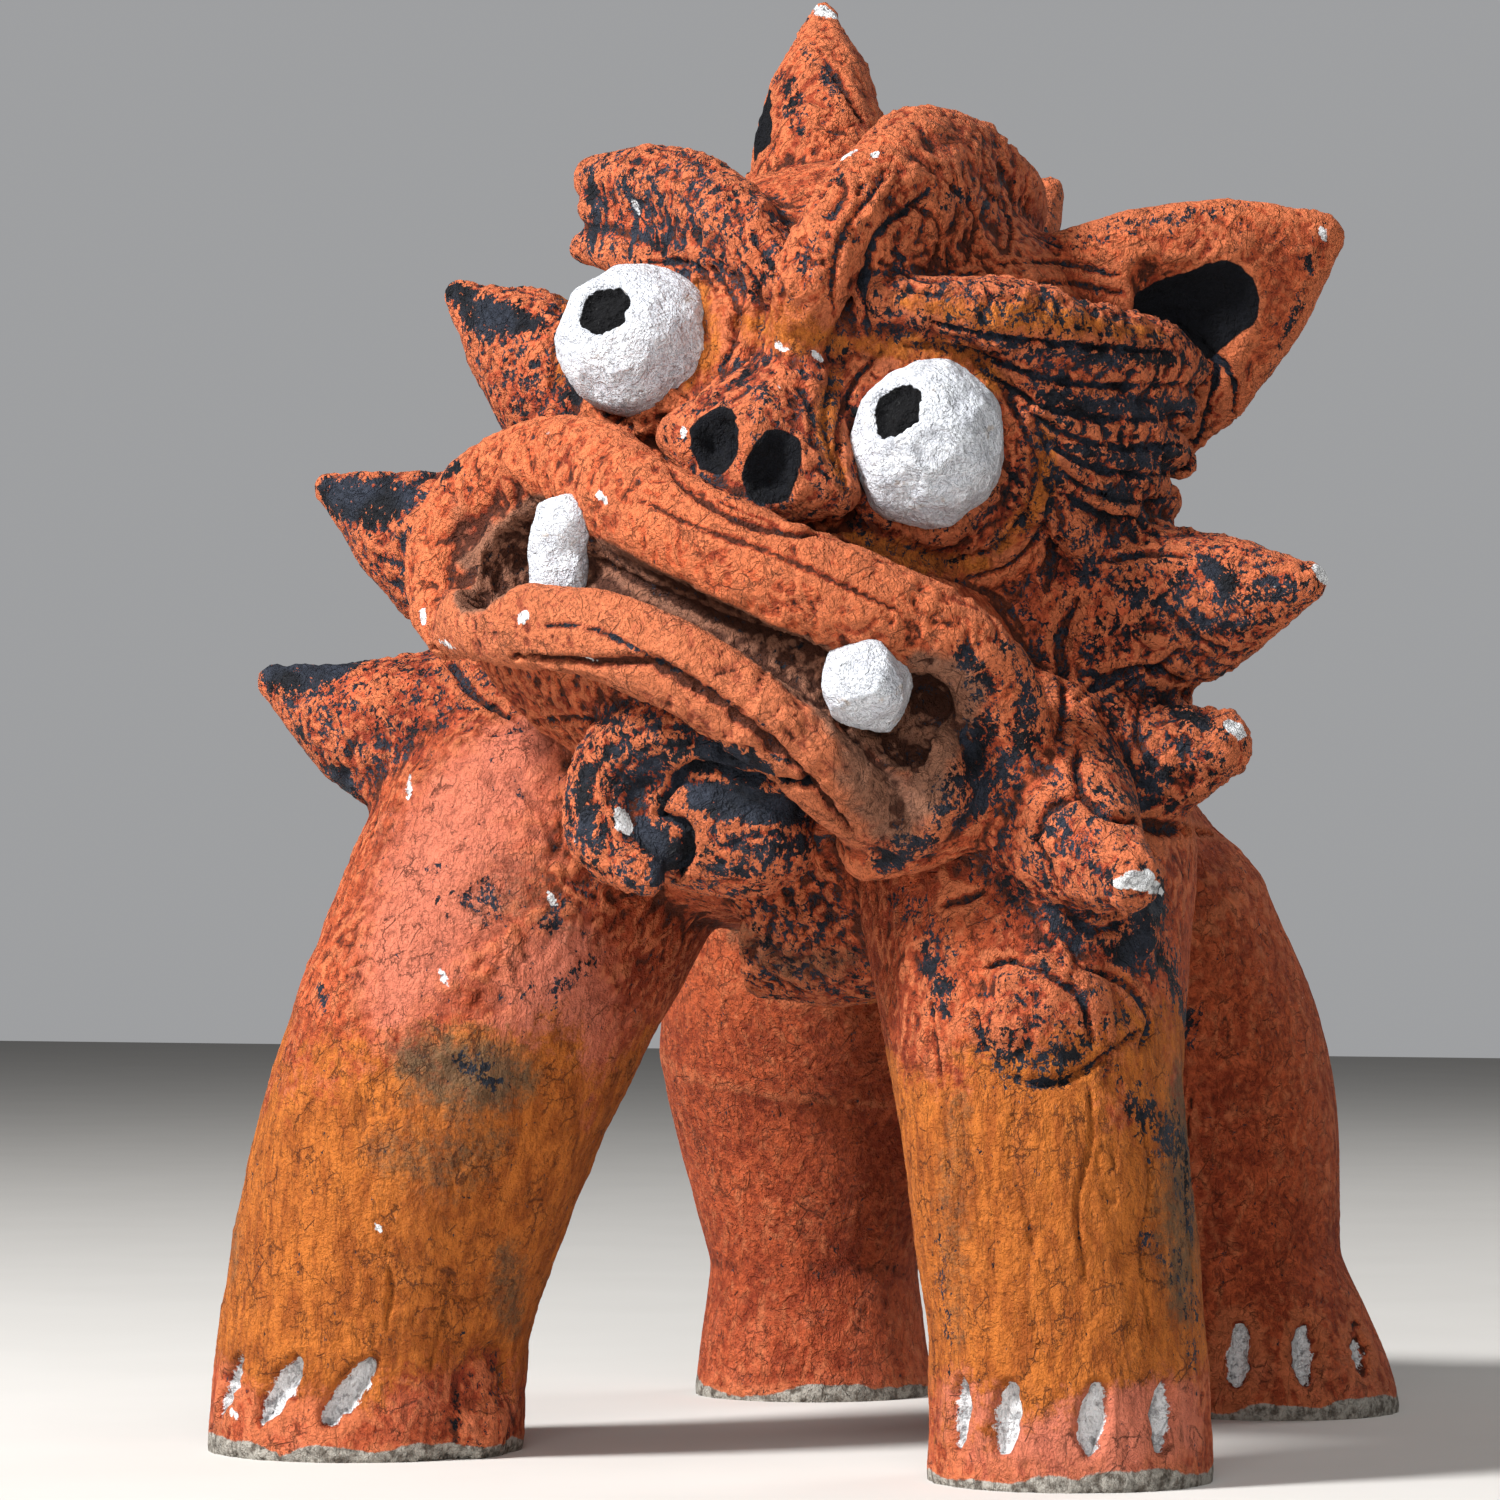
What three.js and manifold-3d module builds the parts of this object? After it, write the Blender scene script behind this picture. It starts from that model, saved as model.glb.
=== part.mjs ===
// A hand-built terracotta monster in the manner of a lion-dog guardian: a hollow body on four stumpy legs and
// a big head cocked to its left, with bulging eyes, a crooked mouth, a crest and a mane of hooked tufts.
// Millimetres, +Z up. The figure looks along -Y, so its own left side is +X. The origin is on the ground,
// under the middle of its bounding box.
// Each mesh is one lump, coil or slab of clay, shaped first and then luted on with slip. A piece that is
// luted on later is trimmed to those already there, and SLIP is the seam that is left between them.
import * as THREE from "three";
import { mergeVertices } from "three/addons/utils/BufferGeometryUtils.js";
import { ConvexGeometry } from "three/addons/geometries/ConvexGeometry.js";
import Module from "manifold-3d";

const wasm = await Module();
wasm.setup();

// Seam of slip between two pieces.
const SLIP = 0.3;

// Body: a hollow barrel whose back slopes down to the rump.
const LEG_SPAN = 170; // forefeet to hind feet
const CHEST_HEIGHT = 144;
const RUMP_HEIGHT = 124;
const CHEST_HALF_WIDTH = 56;
const RUMP_HALF_WIDTH = 50;
const BODY_FLATNESS = 0.58; // height of the barrel over its width
const CHEST_INSET = 18; // chest centre behind the forefeet
const RUMP_INSET = 8; // rump centre ahead of the hind feet
const BODY_WALL = 12;
const BELLY_HOLE_HALF_WIDTH = 22;
const BELLY_HOLE_HALF_LENGTH = 44;

// Legs: thick rolls of clay, flat at the sole. Each X is measured from the middle of the body.
const FORELEG_LEFT = {
  foot: { x: 80, radius: 28.5 },
  ankle: { x: 79, radius: 27.5 },
  knee: { x: 73.5, radius: 28.5 },
  shoulder: { x: 63, radius: 35 },
  claws: [-29, -4, 32, 64],
  clawSlant: 2,
};
const FORELEG_RIGHT = {
  foot: { x: -79, radius: 33 },
  ankle: { x: -76, radius: 32.5 },
  knee: { x: -61, radius: 35 },
  shoulder: { x: -46, radius: 38 },
  claws: [-68, -37, -8, 20],
  clawSlant: 7,
};
const HINDLEG_LEFT = {
  foot: { x: 60, radius: 29 },
  ankle: { x: 52, radius: 24 },
  knee: { x: 46, radius: 27 },
  shoulder: { x: 32, radius: 32 },
  claws: [-20, 12, 44, 76],
  clawSlant: 4,
};
const HINDLEG_RIGHT = {
  foot: { x: -53, radius: 28 },
  ankle: { x: -53, radius: 24 },
  knee: { x: -51, radius: 38 },
  shoulder: { x: -42, radius: 40 },
};
const ANKLE_HEIGHT = 30;
const KNEE_HEIGHT = 76;
const SHOULDER_DROP = 20; // top of a leg's core below the middle of the barrel
const CLAW_HALF_WIDTH = 4;
const CLAW_LOW = 8;
const CLAW_HIGH = 20;
const NOTCH_RADIUS = 14; // where clay has broken off the right forefoot
const NOTCH_AZIMUTH = 76;
const PACKING_RADIUS = 11; // lump of packed clay that shows in the notch

// Head: a skull and a broad muzzle made of one ball of clay, leaning to the figure's left. The places and
// the main sizes on it are shares of the skull's half width.
const HEAD_LEAN = THREE.MathUtils.degToRad(17.5);
const HEAD_HALF_WIDTH = 58;
const HEAD_AHEAD = 2; // skull centre ahead of the chest centre
const NECK_FOOT_DROP = 14; // foot of the neck below the chest centre
const NECK_LENGTH = 84.6; // foot of the neck to skull centre
const NECK_RADIUS = 42;
const NECK_ROOT_DEPTH = 62; // lower end of the neck's core below the skull centre
const NECK_FLATNESS = 0.8;
const onHead = (...shares) => shares.map((share) => share * HEAD_HALF_WIDTH);
const SKULL = { at: [0, 0, 0], radii: onHead(1, 0.79, 0.97) };
const MUZZLE = { at: onHead(0.02, -0.45, -0.79), radii: onHead(1.09, 0.72, 0.6) };
const MANE = { at: onHead(0.03, 0.14, -0.76), radii: onHead(1.45, 0.55, 1.28) };
const MANE_PARTING = 10; // each side of the mane stops this far from the middle

// Eyes, brows and nose.
const EYE_RADIUS = 15.5;
const EYE_AZIMUTH = 35;
const EYE_ELEVATIONS = { left: 4.5, right: 7 };
const EYE_HEIGHTS = { left: 1.1, right: 0.97 }; // half height over radius
const EYE_PROUD = 1; // eye centre beyond the skull
const PUPIL_RADIUS = 5.2;
const PUPIL_DEPTH = 3.5;
const LID_RADIUS = 4;
const BROW_RADIUS = 8.5;
const STRAND_RADIUS = 5.2;
const NOSE_CORNER_RADIUS = 6;
const NOSTRIL_RADIUS = 5.4;
const NOSTRIL_LENGTH = 6;

// Mouth.
const LIP_RADIUS = 11;
const LOWER_LIP_RADIUS = 9.6;
const LIP_FLATNESS = 0.72;
const LIP_PROUD = 4; // lip's core beyond the muzzle
const MOUTH_DEPTH = 17;
const MOUTH_CORNER_WIDTHS = { left: 9, right: 13 };
const MOUTH_GROOVE_RADIUS = 5;
const FANG_LENGTH = 20;
const FANG_RADIUS = 6.5;
const KNOB_RADIUS = 8.5;

// Crest, ears, beard, mane and tail.
const CREST_RIM_RADIUS = 8;
const CREST_RADII = [11, 32, 25];
const EAR_HALF_WIDTH = 26;
const EAR_ROOT_DEPTH = 5; // root of the ear's core inside the skull
const EAR_THICKNESSES = { left: 0.4, right: 0.72 }; // half thickness over half width
const EAR_TIP_RADIUS = 4;
const EAR_HOLLOW_RADIUS = 14;
const BEARD_RADII = [22, 15, 14];
const BEARD_CURL_RADIUS = 9;
const TUFT_RADIUS = 24;
const TUFT_TIP_RADIUS = 4;
const NAPE_TUFT_RADIUS = 15;
const NAPE_TUFT_LENGTH = 30;
const TAIL_LENGTH = 92;
const TAIL_RADIUS = 17;
const SCALE_RADIUS = 20;
const SCALE_THICKNESS = 11;

const X_AXIS = new THREE.Vector3(1, 0, 0);
const Y_AXIS = new THREE.Vector3(0, 1, 0);
const Z_AXIS = new THREE.Vector3(0, 0, 1);

// Clays and paints.
const clay = (color, roughness = 0.9) => new THREE.MeshStandardMaterial({ color, roughness, metalness: 0 });
const RED_CLAY = clay(0xb5532f);
const OCHRE_CLAY = clay(0xb96a2c);
const SLATE_CLAY = clay(0x5b4038);
const WHITE_PAINT = clay(0xe4e6e8, 0.75);
const DUSTY_CLAY = clay(0x9c5536);

// Shaping clay.

function vector(point) {
  return point.isVector3 ? point.clone() : new THREE.Vector3(...point);
}

// The closed surface of a geometry as a solid that can be joined and cut.
function solidOf(geometry) {
  geometry.deleteAttribute("normal");
  geometry.deleteAttribute("uv");
  const merged = mergeVertices(geometry, 1e-4);
  const corners = merged.index.array;
  const triangles = [];
  for (let i = 0; i < corners.length; i += 3) {
    const [a, b, c] = [corners[i], corners[i + 1], corners[i + 2]];
    if (a !== b && b !== c && c !== a) triangles.push(a, b, c); // a pole's triangles collapse
  }
  return new wasm.Manifold(
    new wasm.Mesh({
      numProp: 3,
      vertProperties: merged.attributes.position.array,
      triVerts: new Uint32Array(triangles),
    }),
  );
}

// A ball pressed to three radii.
function ball({ at, radii }, grow = 0, sides = 16) {
  const geometry = new THREE.SphereGeometry(1, sides, Math.round(sides * 0.6));
  geometry.rotateX(Math.PI / 2);
  geometry.scale(radii[0] + grow, radii[1] + grow, radii[2] + grow);
  geometry.translate(...at);
  return solidOf(geometry);
}

// A point on a pressed ball, `out` beyond its surface. Azimuth 0 faces -Y and grows towards +X.
function onBall({ at, radii }, azimuth, elevation, out = 0) {
  const [a, e] = [azimuth, elevation].map(THREE.MathUtils.degToRad);
  return new THREE.Vector3(
    at[0] + (radii[0] + out) * Math.sin(a) * Math.cos(e),
    at[1] - (radii[1] + out) * Math.cos(a) * Math.cos(e),
    at[2] + (radii[2] + out) * Math.sin(e),
  );
}

// The radius at a place, from a list of [place, radius] in rising order.
function between(girth, place) {
  const after = girth.findIndex(([s]) => s >= place);
  if (after === 0) return girth[0][1];
  if (after < 0) return girth[girth.length - 1][1];
  const [[s0, r0], [s1, r1]] = [girth[after - 1], girth[after]];
  return THREE.MathUtils.lerp(r0, r1, (place - s0) / (s1 - s0));
}

// A lump rolled out along a path and rounded off at both ends. `girth` lists [share of the path, radius],
// or [height, radius] where `byHeight` is set. The lump is thin along `face`: `flatness` is its thickness
// over its width.
function roll(path, girth, shape = {}, grow = 0) {
  const { flatness = 1, face = Z_AXIS, sides = 8, rings = 6, byHeight = false } = shape;
  const curve = new THREE.CatmullRomCurve3(path.map(vector), false, "centripetal");
  const sections = [];
  const section = (share, along, size) => {
    const tangent = curve.getTangentAt(share);
    const thin = face.clone().addScaledVector(tangent, -face.dot(tangent)).normalize();
    const centre = curve.getPointAt(share);
    const radius = between(girth, byHeight ? centre.z : share);
    sections.push({
      centre: centre.addScaledVector(tangent, along * (radius * flatness + grow)),
      wide: tangent.clone().cross(thin).multiplyScalar((radius + grow) * size),
      thin: thin.multiplyScalar((radius * flatness + grow) * size),
    });
  };
  const slant = Math.SQRT1_2; // the ring half way round an end
  section(0, -1, 0);
  section(0, -slant, slant);
  for (let i = 0; i <= rings; i++) section(i / rings, 0, 1);
  section(1, slant, slant);
  section(1, 1, 0);
  const pole = sections.length - 1;
  const profile = sections.map((_, i) => new THREE.Vector2(i % pole === 0 ? 0 : 1, i));
  const geometry = new THREE.LatheGeometry(profile, sides);
  const points = geometry.attributes.position;
  const upright = points.clone();
  const point = new THREE.Vector3();
  for (let i = 0; i < points.count; i++) {
    point.fromBufferAttribute(upright, i % (sides * profile.length)); // the last column is the first again
    const s = sections[Math.round(point.y)];
    const moved = s.centre.clone().addScaledVector(s.wide, point.x).addScaledVector(s.thin, point.z);
    points.setXYZ(i, ...moved);
  }
  return solidOf(geometry);
}

function join(solids) {
  return solids.reduce((a, b) => a.add(b));
}

// Luting pieces together.

const figure = new THREE.Group();
const headGroup = new THREE.Group();
const chest = new THREE.Vector3(0, -LEG_SPAN / 2 + CHEST_INSET, CHEST_HEIGHT);
const rump = new THREE.Vector3(0, LEG_SPAN / 2 - RUMP_INSET, RUMP_HEIGHT);
const neck = new THREE.Vector3(Math.sin(HEAD_LEAN), 0, Math.cos(HEAD_LEAN)).multiplyScalar(NECK_LENGTH);
headGroup.position.set(neck.x, chest.y - HEAD_AHEAD, chest.z - NECK_FOOT_DROP + neck.z);
headGroup.rotation.y = HEAD_LEAN;
figure.add(headGroup);
figure.updateMatrixWorld(true);

const laid = []; // the clay that is already in place, each piece grown by the seam

// Whether two boxes overlap.
const meets = (a, b) => [0, 1, 2].every((i) => a.min[i] < b.max[i] && b.min[i] < a.max[i]);

// Places one piece in a group. `form(grow)` is its clay, and `hollow(grow)` what is cut out of it.
function lute(name, material, group, form, hollow = null) {
  const cut = (grow) => (hollow ? form(grow).subtract(hollow(-grow)) : form(grow));
  const toFigure = group.matrixWorld.elements;
  const toGroup = group.matrixWorld.clone().invert();
  const whole = cut(0).transform(toFigure);
  const solid = laid
    .filter((seam) => meets(seam.boundingBox(), whole.boundingBox()))
    .reduce((rest, seam) => rest.subtract(seam), whole);
  const kept = solid.decompose().sort((a, b) => b.volume() - a.volume())[0]; // offcuts are thrown away
  laid.push(cut(SLIP).transform(toFigure));

  const { vertProperties, triVerts, numProp } = kept.getMesh();
  const geometry = new THREE.BufferGeometry();
  const points = new THREE.InterleavedBuffer(vertProperties, numProp);
  const position = new THREE.InterleavedBufferAttribute(points, 3, 0);
  geometry.setAttribute("position", new THREE.BufferAttribute(new Float32Array(position.count * 3), 3));
  const corner = new THREE.Vector3();
  for (let i = 0; i < position.count; i++) {
    corner.fromBufferAttribute(position, i).applyMatrix4(toGroup);
    geometry.attributes.position.setXYZ(i, ...corner);
  }
  geometry.setIndex(new THREE.BufferAttribute(new Uint32Array(triVerts), 1));
  geometry.computeBoundingBox();
  const middle = geometry.boundingBox.getCenter(new THREE.Vector3());
  geometry.translate(-middle.x, -middle.y, -middle.z);
  geometry.computeVertexNormals();
  const mesh = new THREE.Mesh(geometry, material);
  mesh.name = name;
  mesh.position.copy(middle);
  group.add(mesh);
}

// Body and legs.

const middleOfBody = chest.clone().lerp(rump, 0.5);
const barrelGirth = [
  [0, CHEST_HALF_WIDTH],
  [1, RUMP_HALF_WIDTH],
];
const barrelShape = { flatness: BODY_FLATNESS, sides: 16, rings: 3 };
const barrel = (grow) => roll([chest, middleOfBody, rump], barrelGirth, barrelShape, grow);

// The inside of the barrel, and the hole in the belly that lets steam out in the kiln.
function bodyHollow(grow) {
  const hole = new THREE.CylinderGeometry(1, 1, middleOfBody.z, 16);
  hole.rotateX(Math.PI / 2);
  hole.scale(BELLY_HOLE_HALF_WIDTH + grow, BELLY_HOLE_HALF_LENGTH + grow, 1);
  hole.translate(middleOfBody.x, middleOfBody.y, middleOfBody.z / 2);
  return barrel(grow - BODY_WALL).add(solidOf(hole));
}

lute("body_barrel", RED_CLAY, figure, barrel, bodyHollow);

// A leg with its place under the body: its centre line goes up through the foot, then over to the barrel.
function standLeg(size, footY, top) {
  const { foot, ankle, knee, shoulder } = size;
  const line = [
    [foot.x, footY, -foot.radius],
    [foot.x, footY, 0],
    [ankle.x, footY, ANKLE_HEIGHT],
    [knee.x, footY, KNEE_HEIGHT],
    [shoulder.x, top.y, top.z - SHOULDER_DROP],
  ].map(vector);
  const girth = [
    [0, foot.radius],
    [ANKLE_HEIGHT, ankle.radius],
    [KNEE_HEIGHT, knee.radius],
    [top.z - SHOULDER_DROP, shoulder.radius],
  ];
  return { ...size, line, girth };
}

function legForm({ line, girth }) {
  const shape = { face: Y_AXIS, sides: 12, rings: 8, byHeight: true };
  return (grow) => roll(line, girth, shape, grow).trimByPlane([0, 0, 1], 0);
}

// A point on a leg's side at a height above the ground. Azimuth 0 faces -Y and grows towards +X.
function onLeg({ line, girth }, azimuth, height, out = 0) {
  const above = line.findIndex((point) => point.z > height);
  const [low, high] = [line[above - 1], line[above]];
  const centre = low.clone().lerp(high, (height - low.z) / (high.z - low.z));
  const reach = between(girth, height) + out;
  const a = THREE.MathUtils.degToRad(azimuth);
  return centre.add(new THREE.Vector3(reach * Math.sin(a), -reach * Math.cos(a), 0));
}

// Claw marks pressed into the front of the foot.
function clawMarks(leg) {
  return (grow) =>
    join(
      leg.claws.map((azimuth) => {
        const mark = [
          onLeg(leg, azimuth - leg.clawSlant, CLAW_LOW, CLAW_HALF_WIDTH * 0.25),
          onLeg(leg, azimuth + leg.clawSlant, CLAW_HIGH, CLAW_HALF_WIDTH * 0.25),
        ];
        const girth = [[0, CLAW_HALF_WIDTH], [1, CLAW_HALF_WIDTH]];
        return roll(mark, girth, { sides: 5, rings: 1, face: Y_AXIS }, grow);
      }),
    );
}

const foreY = -LEG_SPAN / 2;
const hindY = LEG_SPAN / 2;
const forelegLeft = standLeg(FORELEG_LEFT, foreY, chest);
const forelegRight = standLeg(FORELEG_RIGHT, foreY, chest);
const hindlegLeft = standLeg(HINDLEG_LEFT, hindY, rump);
const hindlegRight = standLeg(HINDLEG_RIGHT, hindY, rump);

// The right forefoot has lost a chunk on its inner side, where the clay packed inside the roll shows.
function notch(grow) {
  const [low, high] = [0, NOTCH_RADIUS].map((height) => onLeg(forelegRight, NOTCH_AZIMUTH, height));
  const girth = [[0, NOTCH_RADIUS], [1, NOTCH_RADIUS * 0.8]];
  return roll([low, high], girth, { face: Y_AXIS, sides: 8, rings: 1 }, grow);
}

function packing(grow) {
  const at = onLeg(forelegRight, NOTCH_AZIMUTH, PACKING_RADIUS / 2, -PACKING_RADIUS);
  const radii = [PACKING_RADIUS, PACKING_RADIUS, PACKING_RADIUS];
  return ball({ at: [...at], radii }, grow, 10).trimByPlane([0, 0, 1], 0);
}

lute("foreleg_left", OCHRE_CLAY, figure, legForm(forelegLeft), clawMarks(forelegLeft));
lute("foreleg_right", OCHRE_CLAY, figure, legForm(forelegRight), (grow) =>
  clawMarks(forelegRight)(grow).add(notch(grow)),
);
lute("foot_packing", RED_CLAY, figure, packing);
lute("hindleg_left", OCHRE_CLAY, figure, legForm(hindlegLeft), clawMarks(hindlegLeft));
lute("hindleg_right", OCHRE_CLAY, figure, legForm(hindlegRight)); // its claws were never marked

// Two flat scales of clay pressed on the left foreleg, the upper one lapping over the lower.
const SCALES = [
  { name: "scale_lower", azimuth: 29, height: 90 },
  { name: "scale_upper", azimuth: 47, height: 108 },
];
for (const { name, azimuth, height } of SCALES) {
  const across = X_AXIS.clone().applyAxisAngle(Z_AXIS, THREE.MathUtils.degToRad(azimuth));
  const middle = onLeg(forelegLeft, azimuth, height);
  const [start, end] = [-0.5, 0.5].map((share) =>
    middle.clone().addScaledVector(across, share * SCALE_RADIUS),
  );
  const outward = across.clone().cross(Z_AXIS).normalize();
  const girth = [[0, SCALE_RADIUS * 0.55], [0.5, SCALE_RADIUS * 0.8], [1, SCALE_RADIUS * 0.5]];
  const shape = { face: outward, flatness: (SCALE_THICKNESS / SCALE_RADIUS) * 0.5, sides: 8, rings: 4 };
  lute(name, SLATE_CLAY, figure, (grow) => roll([start, middle, end], girth, shape, grow));
}

// Neck, eyes and skull. The neck is a thick coil that leans with the head.

lute("neck", RED_CLAY, headGroup, (grow) =>
  roll(
    [[0, 0, -NECK_ROOT_DEPTH], SKULL.at],
    [[0, NECK_RADIUS], [1, NECK_RADIUS]],
    { face: Y_AXIS, flatness: NECK_FLATNESS, sides: 16, rings: 3 },
    grow,
  ),
);

// Both eyes roll up towards the figure's right.
const gaze = new THREE.Vector3(-0.24, -0.9, 0.36).normalize();

for (const [side, turn] of [["left", 1], ["right", -1]]) {
  const centre = onBall(SKULL, turn * EYE_AZIMUTH, EYE_ELEVATIONS[side], EYE_PROUD);
  const radii = [EYE_RADIUS, EYE_RADIUS, EYE_RADIUS * EYE_HEIGHTS[side]];
  const pupil = [-PUPIL_DEPTH, 0].map((depth) =>
    centre.clone().addScaledVector(gaze, EYE_RADIUS + PUPIL_RADIUS + depth),
  );
  lute(
    `eye_${side}`,
    WHITE_PAINT,
    headGroup,
    (grow) => ball({ at: [...centre], radii }, grow, 12),
    (grow) => roll(pupil, [[0, PUPIL_RADIUS], [1, PUPIL_RADIUS]], { sides: 8, rings: 1 }, grow),
  );
}

// Points along the mouth, as azimuth and elevation on the muzzle, from the figure's right to its left.
const MOUTH_LINE = [[-42, 6], [-20, 14], [0, 12], [22, 8], [40, 0], [58, -12]];
const mouthPoint = ([azimuth, elevation], out = 0) => onBall(MUZZLE, azimuth, elevation, out);

// The pits at the corners of the mouth, and the groove between the lips that joins them.
function mouthHollow(grow) {
  const corners = [[[-38, 8], "right"], [[60, -4], "left"]].map(([place, side]) => {
    const width = MOUTH_CORNER_WIDTHS[side];
    return ball({ at: [...mouthPoint(place)], radii: [width, MOUTH_DEPTH, width] }, grow, 10);
  });
  const line = MOUTH_LINE.map((place) => mouthPoint(place));
  const girth = [[0, MOUTH_GROOVE_RADIUS], [1, MOUTH_GROOVE_RADIUS]];
  return join([...corners, roll(line, girth, { sides: 6, rings: 7 }, grow)]);
}

lute(
  "head",
  RED_CLAY,
  headGroup,
  (grow) => ball(SKULL, grow, 16).add(ball(MUZZLE, grow, 16)),
  mouthHollow,
);

// Ears, crest, brows and eyelids.

// A cupped leaf from the skull to its tip, open towards `facing`.
function ear(root, tip, facing, halfWidth, flatness) {
  const girth = [
    [0, halfWidth * 1.15],
    [0.4, halfWidth * 0.95],
    [0.75, halfWidth * 0.58],
    [1, EAR_TIP_RADIUS],
  ];
  const cup = [0.22, 0.56].map((share) =>
    root.clone().lerp(tip, share).addScaledVector(facing, halfWidth * flatness),
  );
  const hollowRadius = (EAR_HOLLOW_RADIUS * halfWidth) / EAR_HALF_WIDTH;
  return {
    form: (grow) =>
      roll([root, tip], girth, { flatness, face: facing, sides: 10, rings: 5 }, grow),
    hollow: (grow) =>
      roll(
        cup,
        [[0, hollowRadius], [1, hollowRadius * 0.7]],
        { flatness: 0.62, face: facing, sides: 10, rings: 2 },
        grow,
      ),
  };
}

const leftEar = ear(
  onBall(SKULL, 118, 32, -EAR_ROOT_DEPTH),
  vector(onHead(1.32, 0.55, 1.17)),
  vector([0.74, -0.66, 0.1]).normalize(),
  EAR_HALF_WIDTH,
  EAR_THICKNESSES.left,
);
const rightEar = ear(
  onBall(SKULL, -132, 42, -EAR_ROOT_DEPTH),
  vector(onHead(-0.84, 0.6, 1.41)),
  vector([-0.86, -0.5, 0.1]).normalize(),
  EAR_HALF_WIDTH * 0.85,
  EAR_THICKNESSES.right,
);
lute("ear_left", RED_CLAY, headGroup, leftEar.form, leftEar.hollow);
lute("ear_right", RED_CLAY, headGroup, rightEar.form, rightEar.hollow);

// A fin set on edge between the brows, with a thick rolled rim that runs over it from front to back. Each
// point of the rim is azimuth, elevation and how many rim radii it stands off the skull.
const CREST_RIM = [
  [3, 14, 0.1], [4, 30, 1], [7, 49, 1.25], [18, 72, 1], [140, 68, 0.25], [160, 50, -0.5],
];
const CREST_GIRTH = [
  [0, CREST_RIM_RADIUS * 0.75],
  [0.2, CREST_RIM_RADIUS],
  [0.8, CREST_RIM_RADIUS],
  [1, CREST_RIM_RADIUS * 0.6],
];
lute("crest", RED_CLAY, headGroup, (grow) => {
  const rim = CREST_RIM.map(([azimuth, elevation, out]) =>
    onBall(SKULL, azimuth, elevation, out * CREST_RIM_RADIUS),
  );
  const fin = ball({ at: onHead(0.2, -0.18, 0.7), radii: CREST_RADII }, grow, 12);
  return fin.add(roll(rim, CREST_GIRTH, { face: X_AXIS, sides: 8, rings: 10 }, grow));
});

// A bushy brow: a thick ridge over the eye, and strands below it that fan out towards the ear. Each point
// is azimuth, elevation and how many brow radii it stands off the skull.
const BROWS = [
  {
    name: "brow_left",
    ridge: [[18, 30, 0.2], [40, 33, 0.4], [68, 32, 0.5], [92, 30, 0.95], [108, 28, 1.8]],
    strands: [
      [[44, 31, 0.1], [74, 27, 0.6], [104, 20, 1.5]],
      [[52, 24, 0.1], [78, 19, 0.6], [103, 12, 1.3]],
      [[58, 16, 0.1], [80, 11, 0.6], [101, 4, 1.1]],
      [[60, 8, 0.1], [80, 3, 0.5], [98, -4, 0.8]],
      [[60, 0, 0], [76, -5, 0.4], [92, -11, 0.5]],
    ],
  },
  {
    name: "brow_right",
    ridge: [[-4, 28, 0], [-24, 36, 0.2], [-46, 38, 0.7], [-60, 34, 1.4], [-67, 29, 2.1]],
    strands: [
      [[-30, 29, 0.1], [-52, 30, 0.7], [-67, 22, 1.75]],
      [[-42, 25, 0], [-58, 22, 0.5], [-70, 15, 1.3]],
    ],
  },
];
for (const { name, ridge, strands } of BROWS) {
  const onSkull = ([azimuth, elevation, out]) => onBall(SKULL, azimuth, elevation, out * BROW_RADIUS);
  const ridgeGirth = [
    [0, BROW_RADIUS * 0.6],
    [0.35, BROW_RADIUS],
    [0.8, BROW_RADIUS],
    [1, BROW_RADIUS * 0.6],
  ];
  const strandGirth = [
    [0, STRAND_RADIUS * 0.7],
    [0.6, STRAND_RADIUS],
    [1, STRAND_RADIUS * 0.7],
  ];
  lute(name, SLATE_CLAY, headGroup, (grow) =>
    join([
      roll(ridge.map(onSkull), ridgeGirth, { sides: 7, rings: 6 }, grow),
      ...strands.map((strand) => roll(strand.map(onSkull), strandGirth, { sides: 5, rings: 2 }, grow)),
    ]),
  );
}

// A roll of clay that cradles the eye from below.
for (const [side, turn, material] of [["left", 1, SLATE_CLAY], ["right", -1, RED_CLAY]]) {
  const reach = EYE_RADIUS + LID_RADIUS * 0.5;
  const path = [-10, -55, -100, -150].map((degrees) => {
    const a = THREE.MathUtils.degToRad(degrees);
    const azimuth = turn * (EYE_AZIMUTH + THREE.MathUtils.radToDeg((reach * Math.cos(a)) / SKULL.radii[0]));
    const elevation = EYE_ELEVATIONS[side] + THREE.MathUtils.radToDeg((reach * Math.sin(a)) / SKULL.radii[2]);
    return onBall(SKULL, azimuth, elevation, LID_RADIUS * 0.25);
  });
  const girth = [[0, LID_RADIUS * 0.6], [0.5, LID_RADIUS], [1, LID_RADIUS * 0.6]];
  lute(`eyelid_${side}`, material, headGroup, (grow) => roll(path, girth, { sides: 6, rings: 5 }, grow));
}

// Nose and mouth. The nose is a wedge that comes down from between the brows, with two open nostrils.

// The balls that the nose is stretched over: the bridge, the tip, the base and the two wings. Each is its
// place on the head and its radius over that of a corner.
const NOSE_CORNERS = [
  { place: [0.08, -0.74, 0.26], size: 0.8 },
  { place: [0.11, -1.03, -0.05], size: 0.85 },
  { place: [0.18, -0.98, -0.24], size: 1 },
  { place: [-0.2, -0.88, -0.13], size: 1 },
  { place: [0.37, -0.86, -0.15], size: 1.05 },
];
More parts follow.
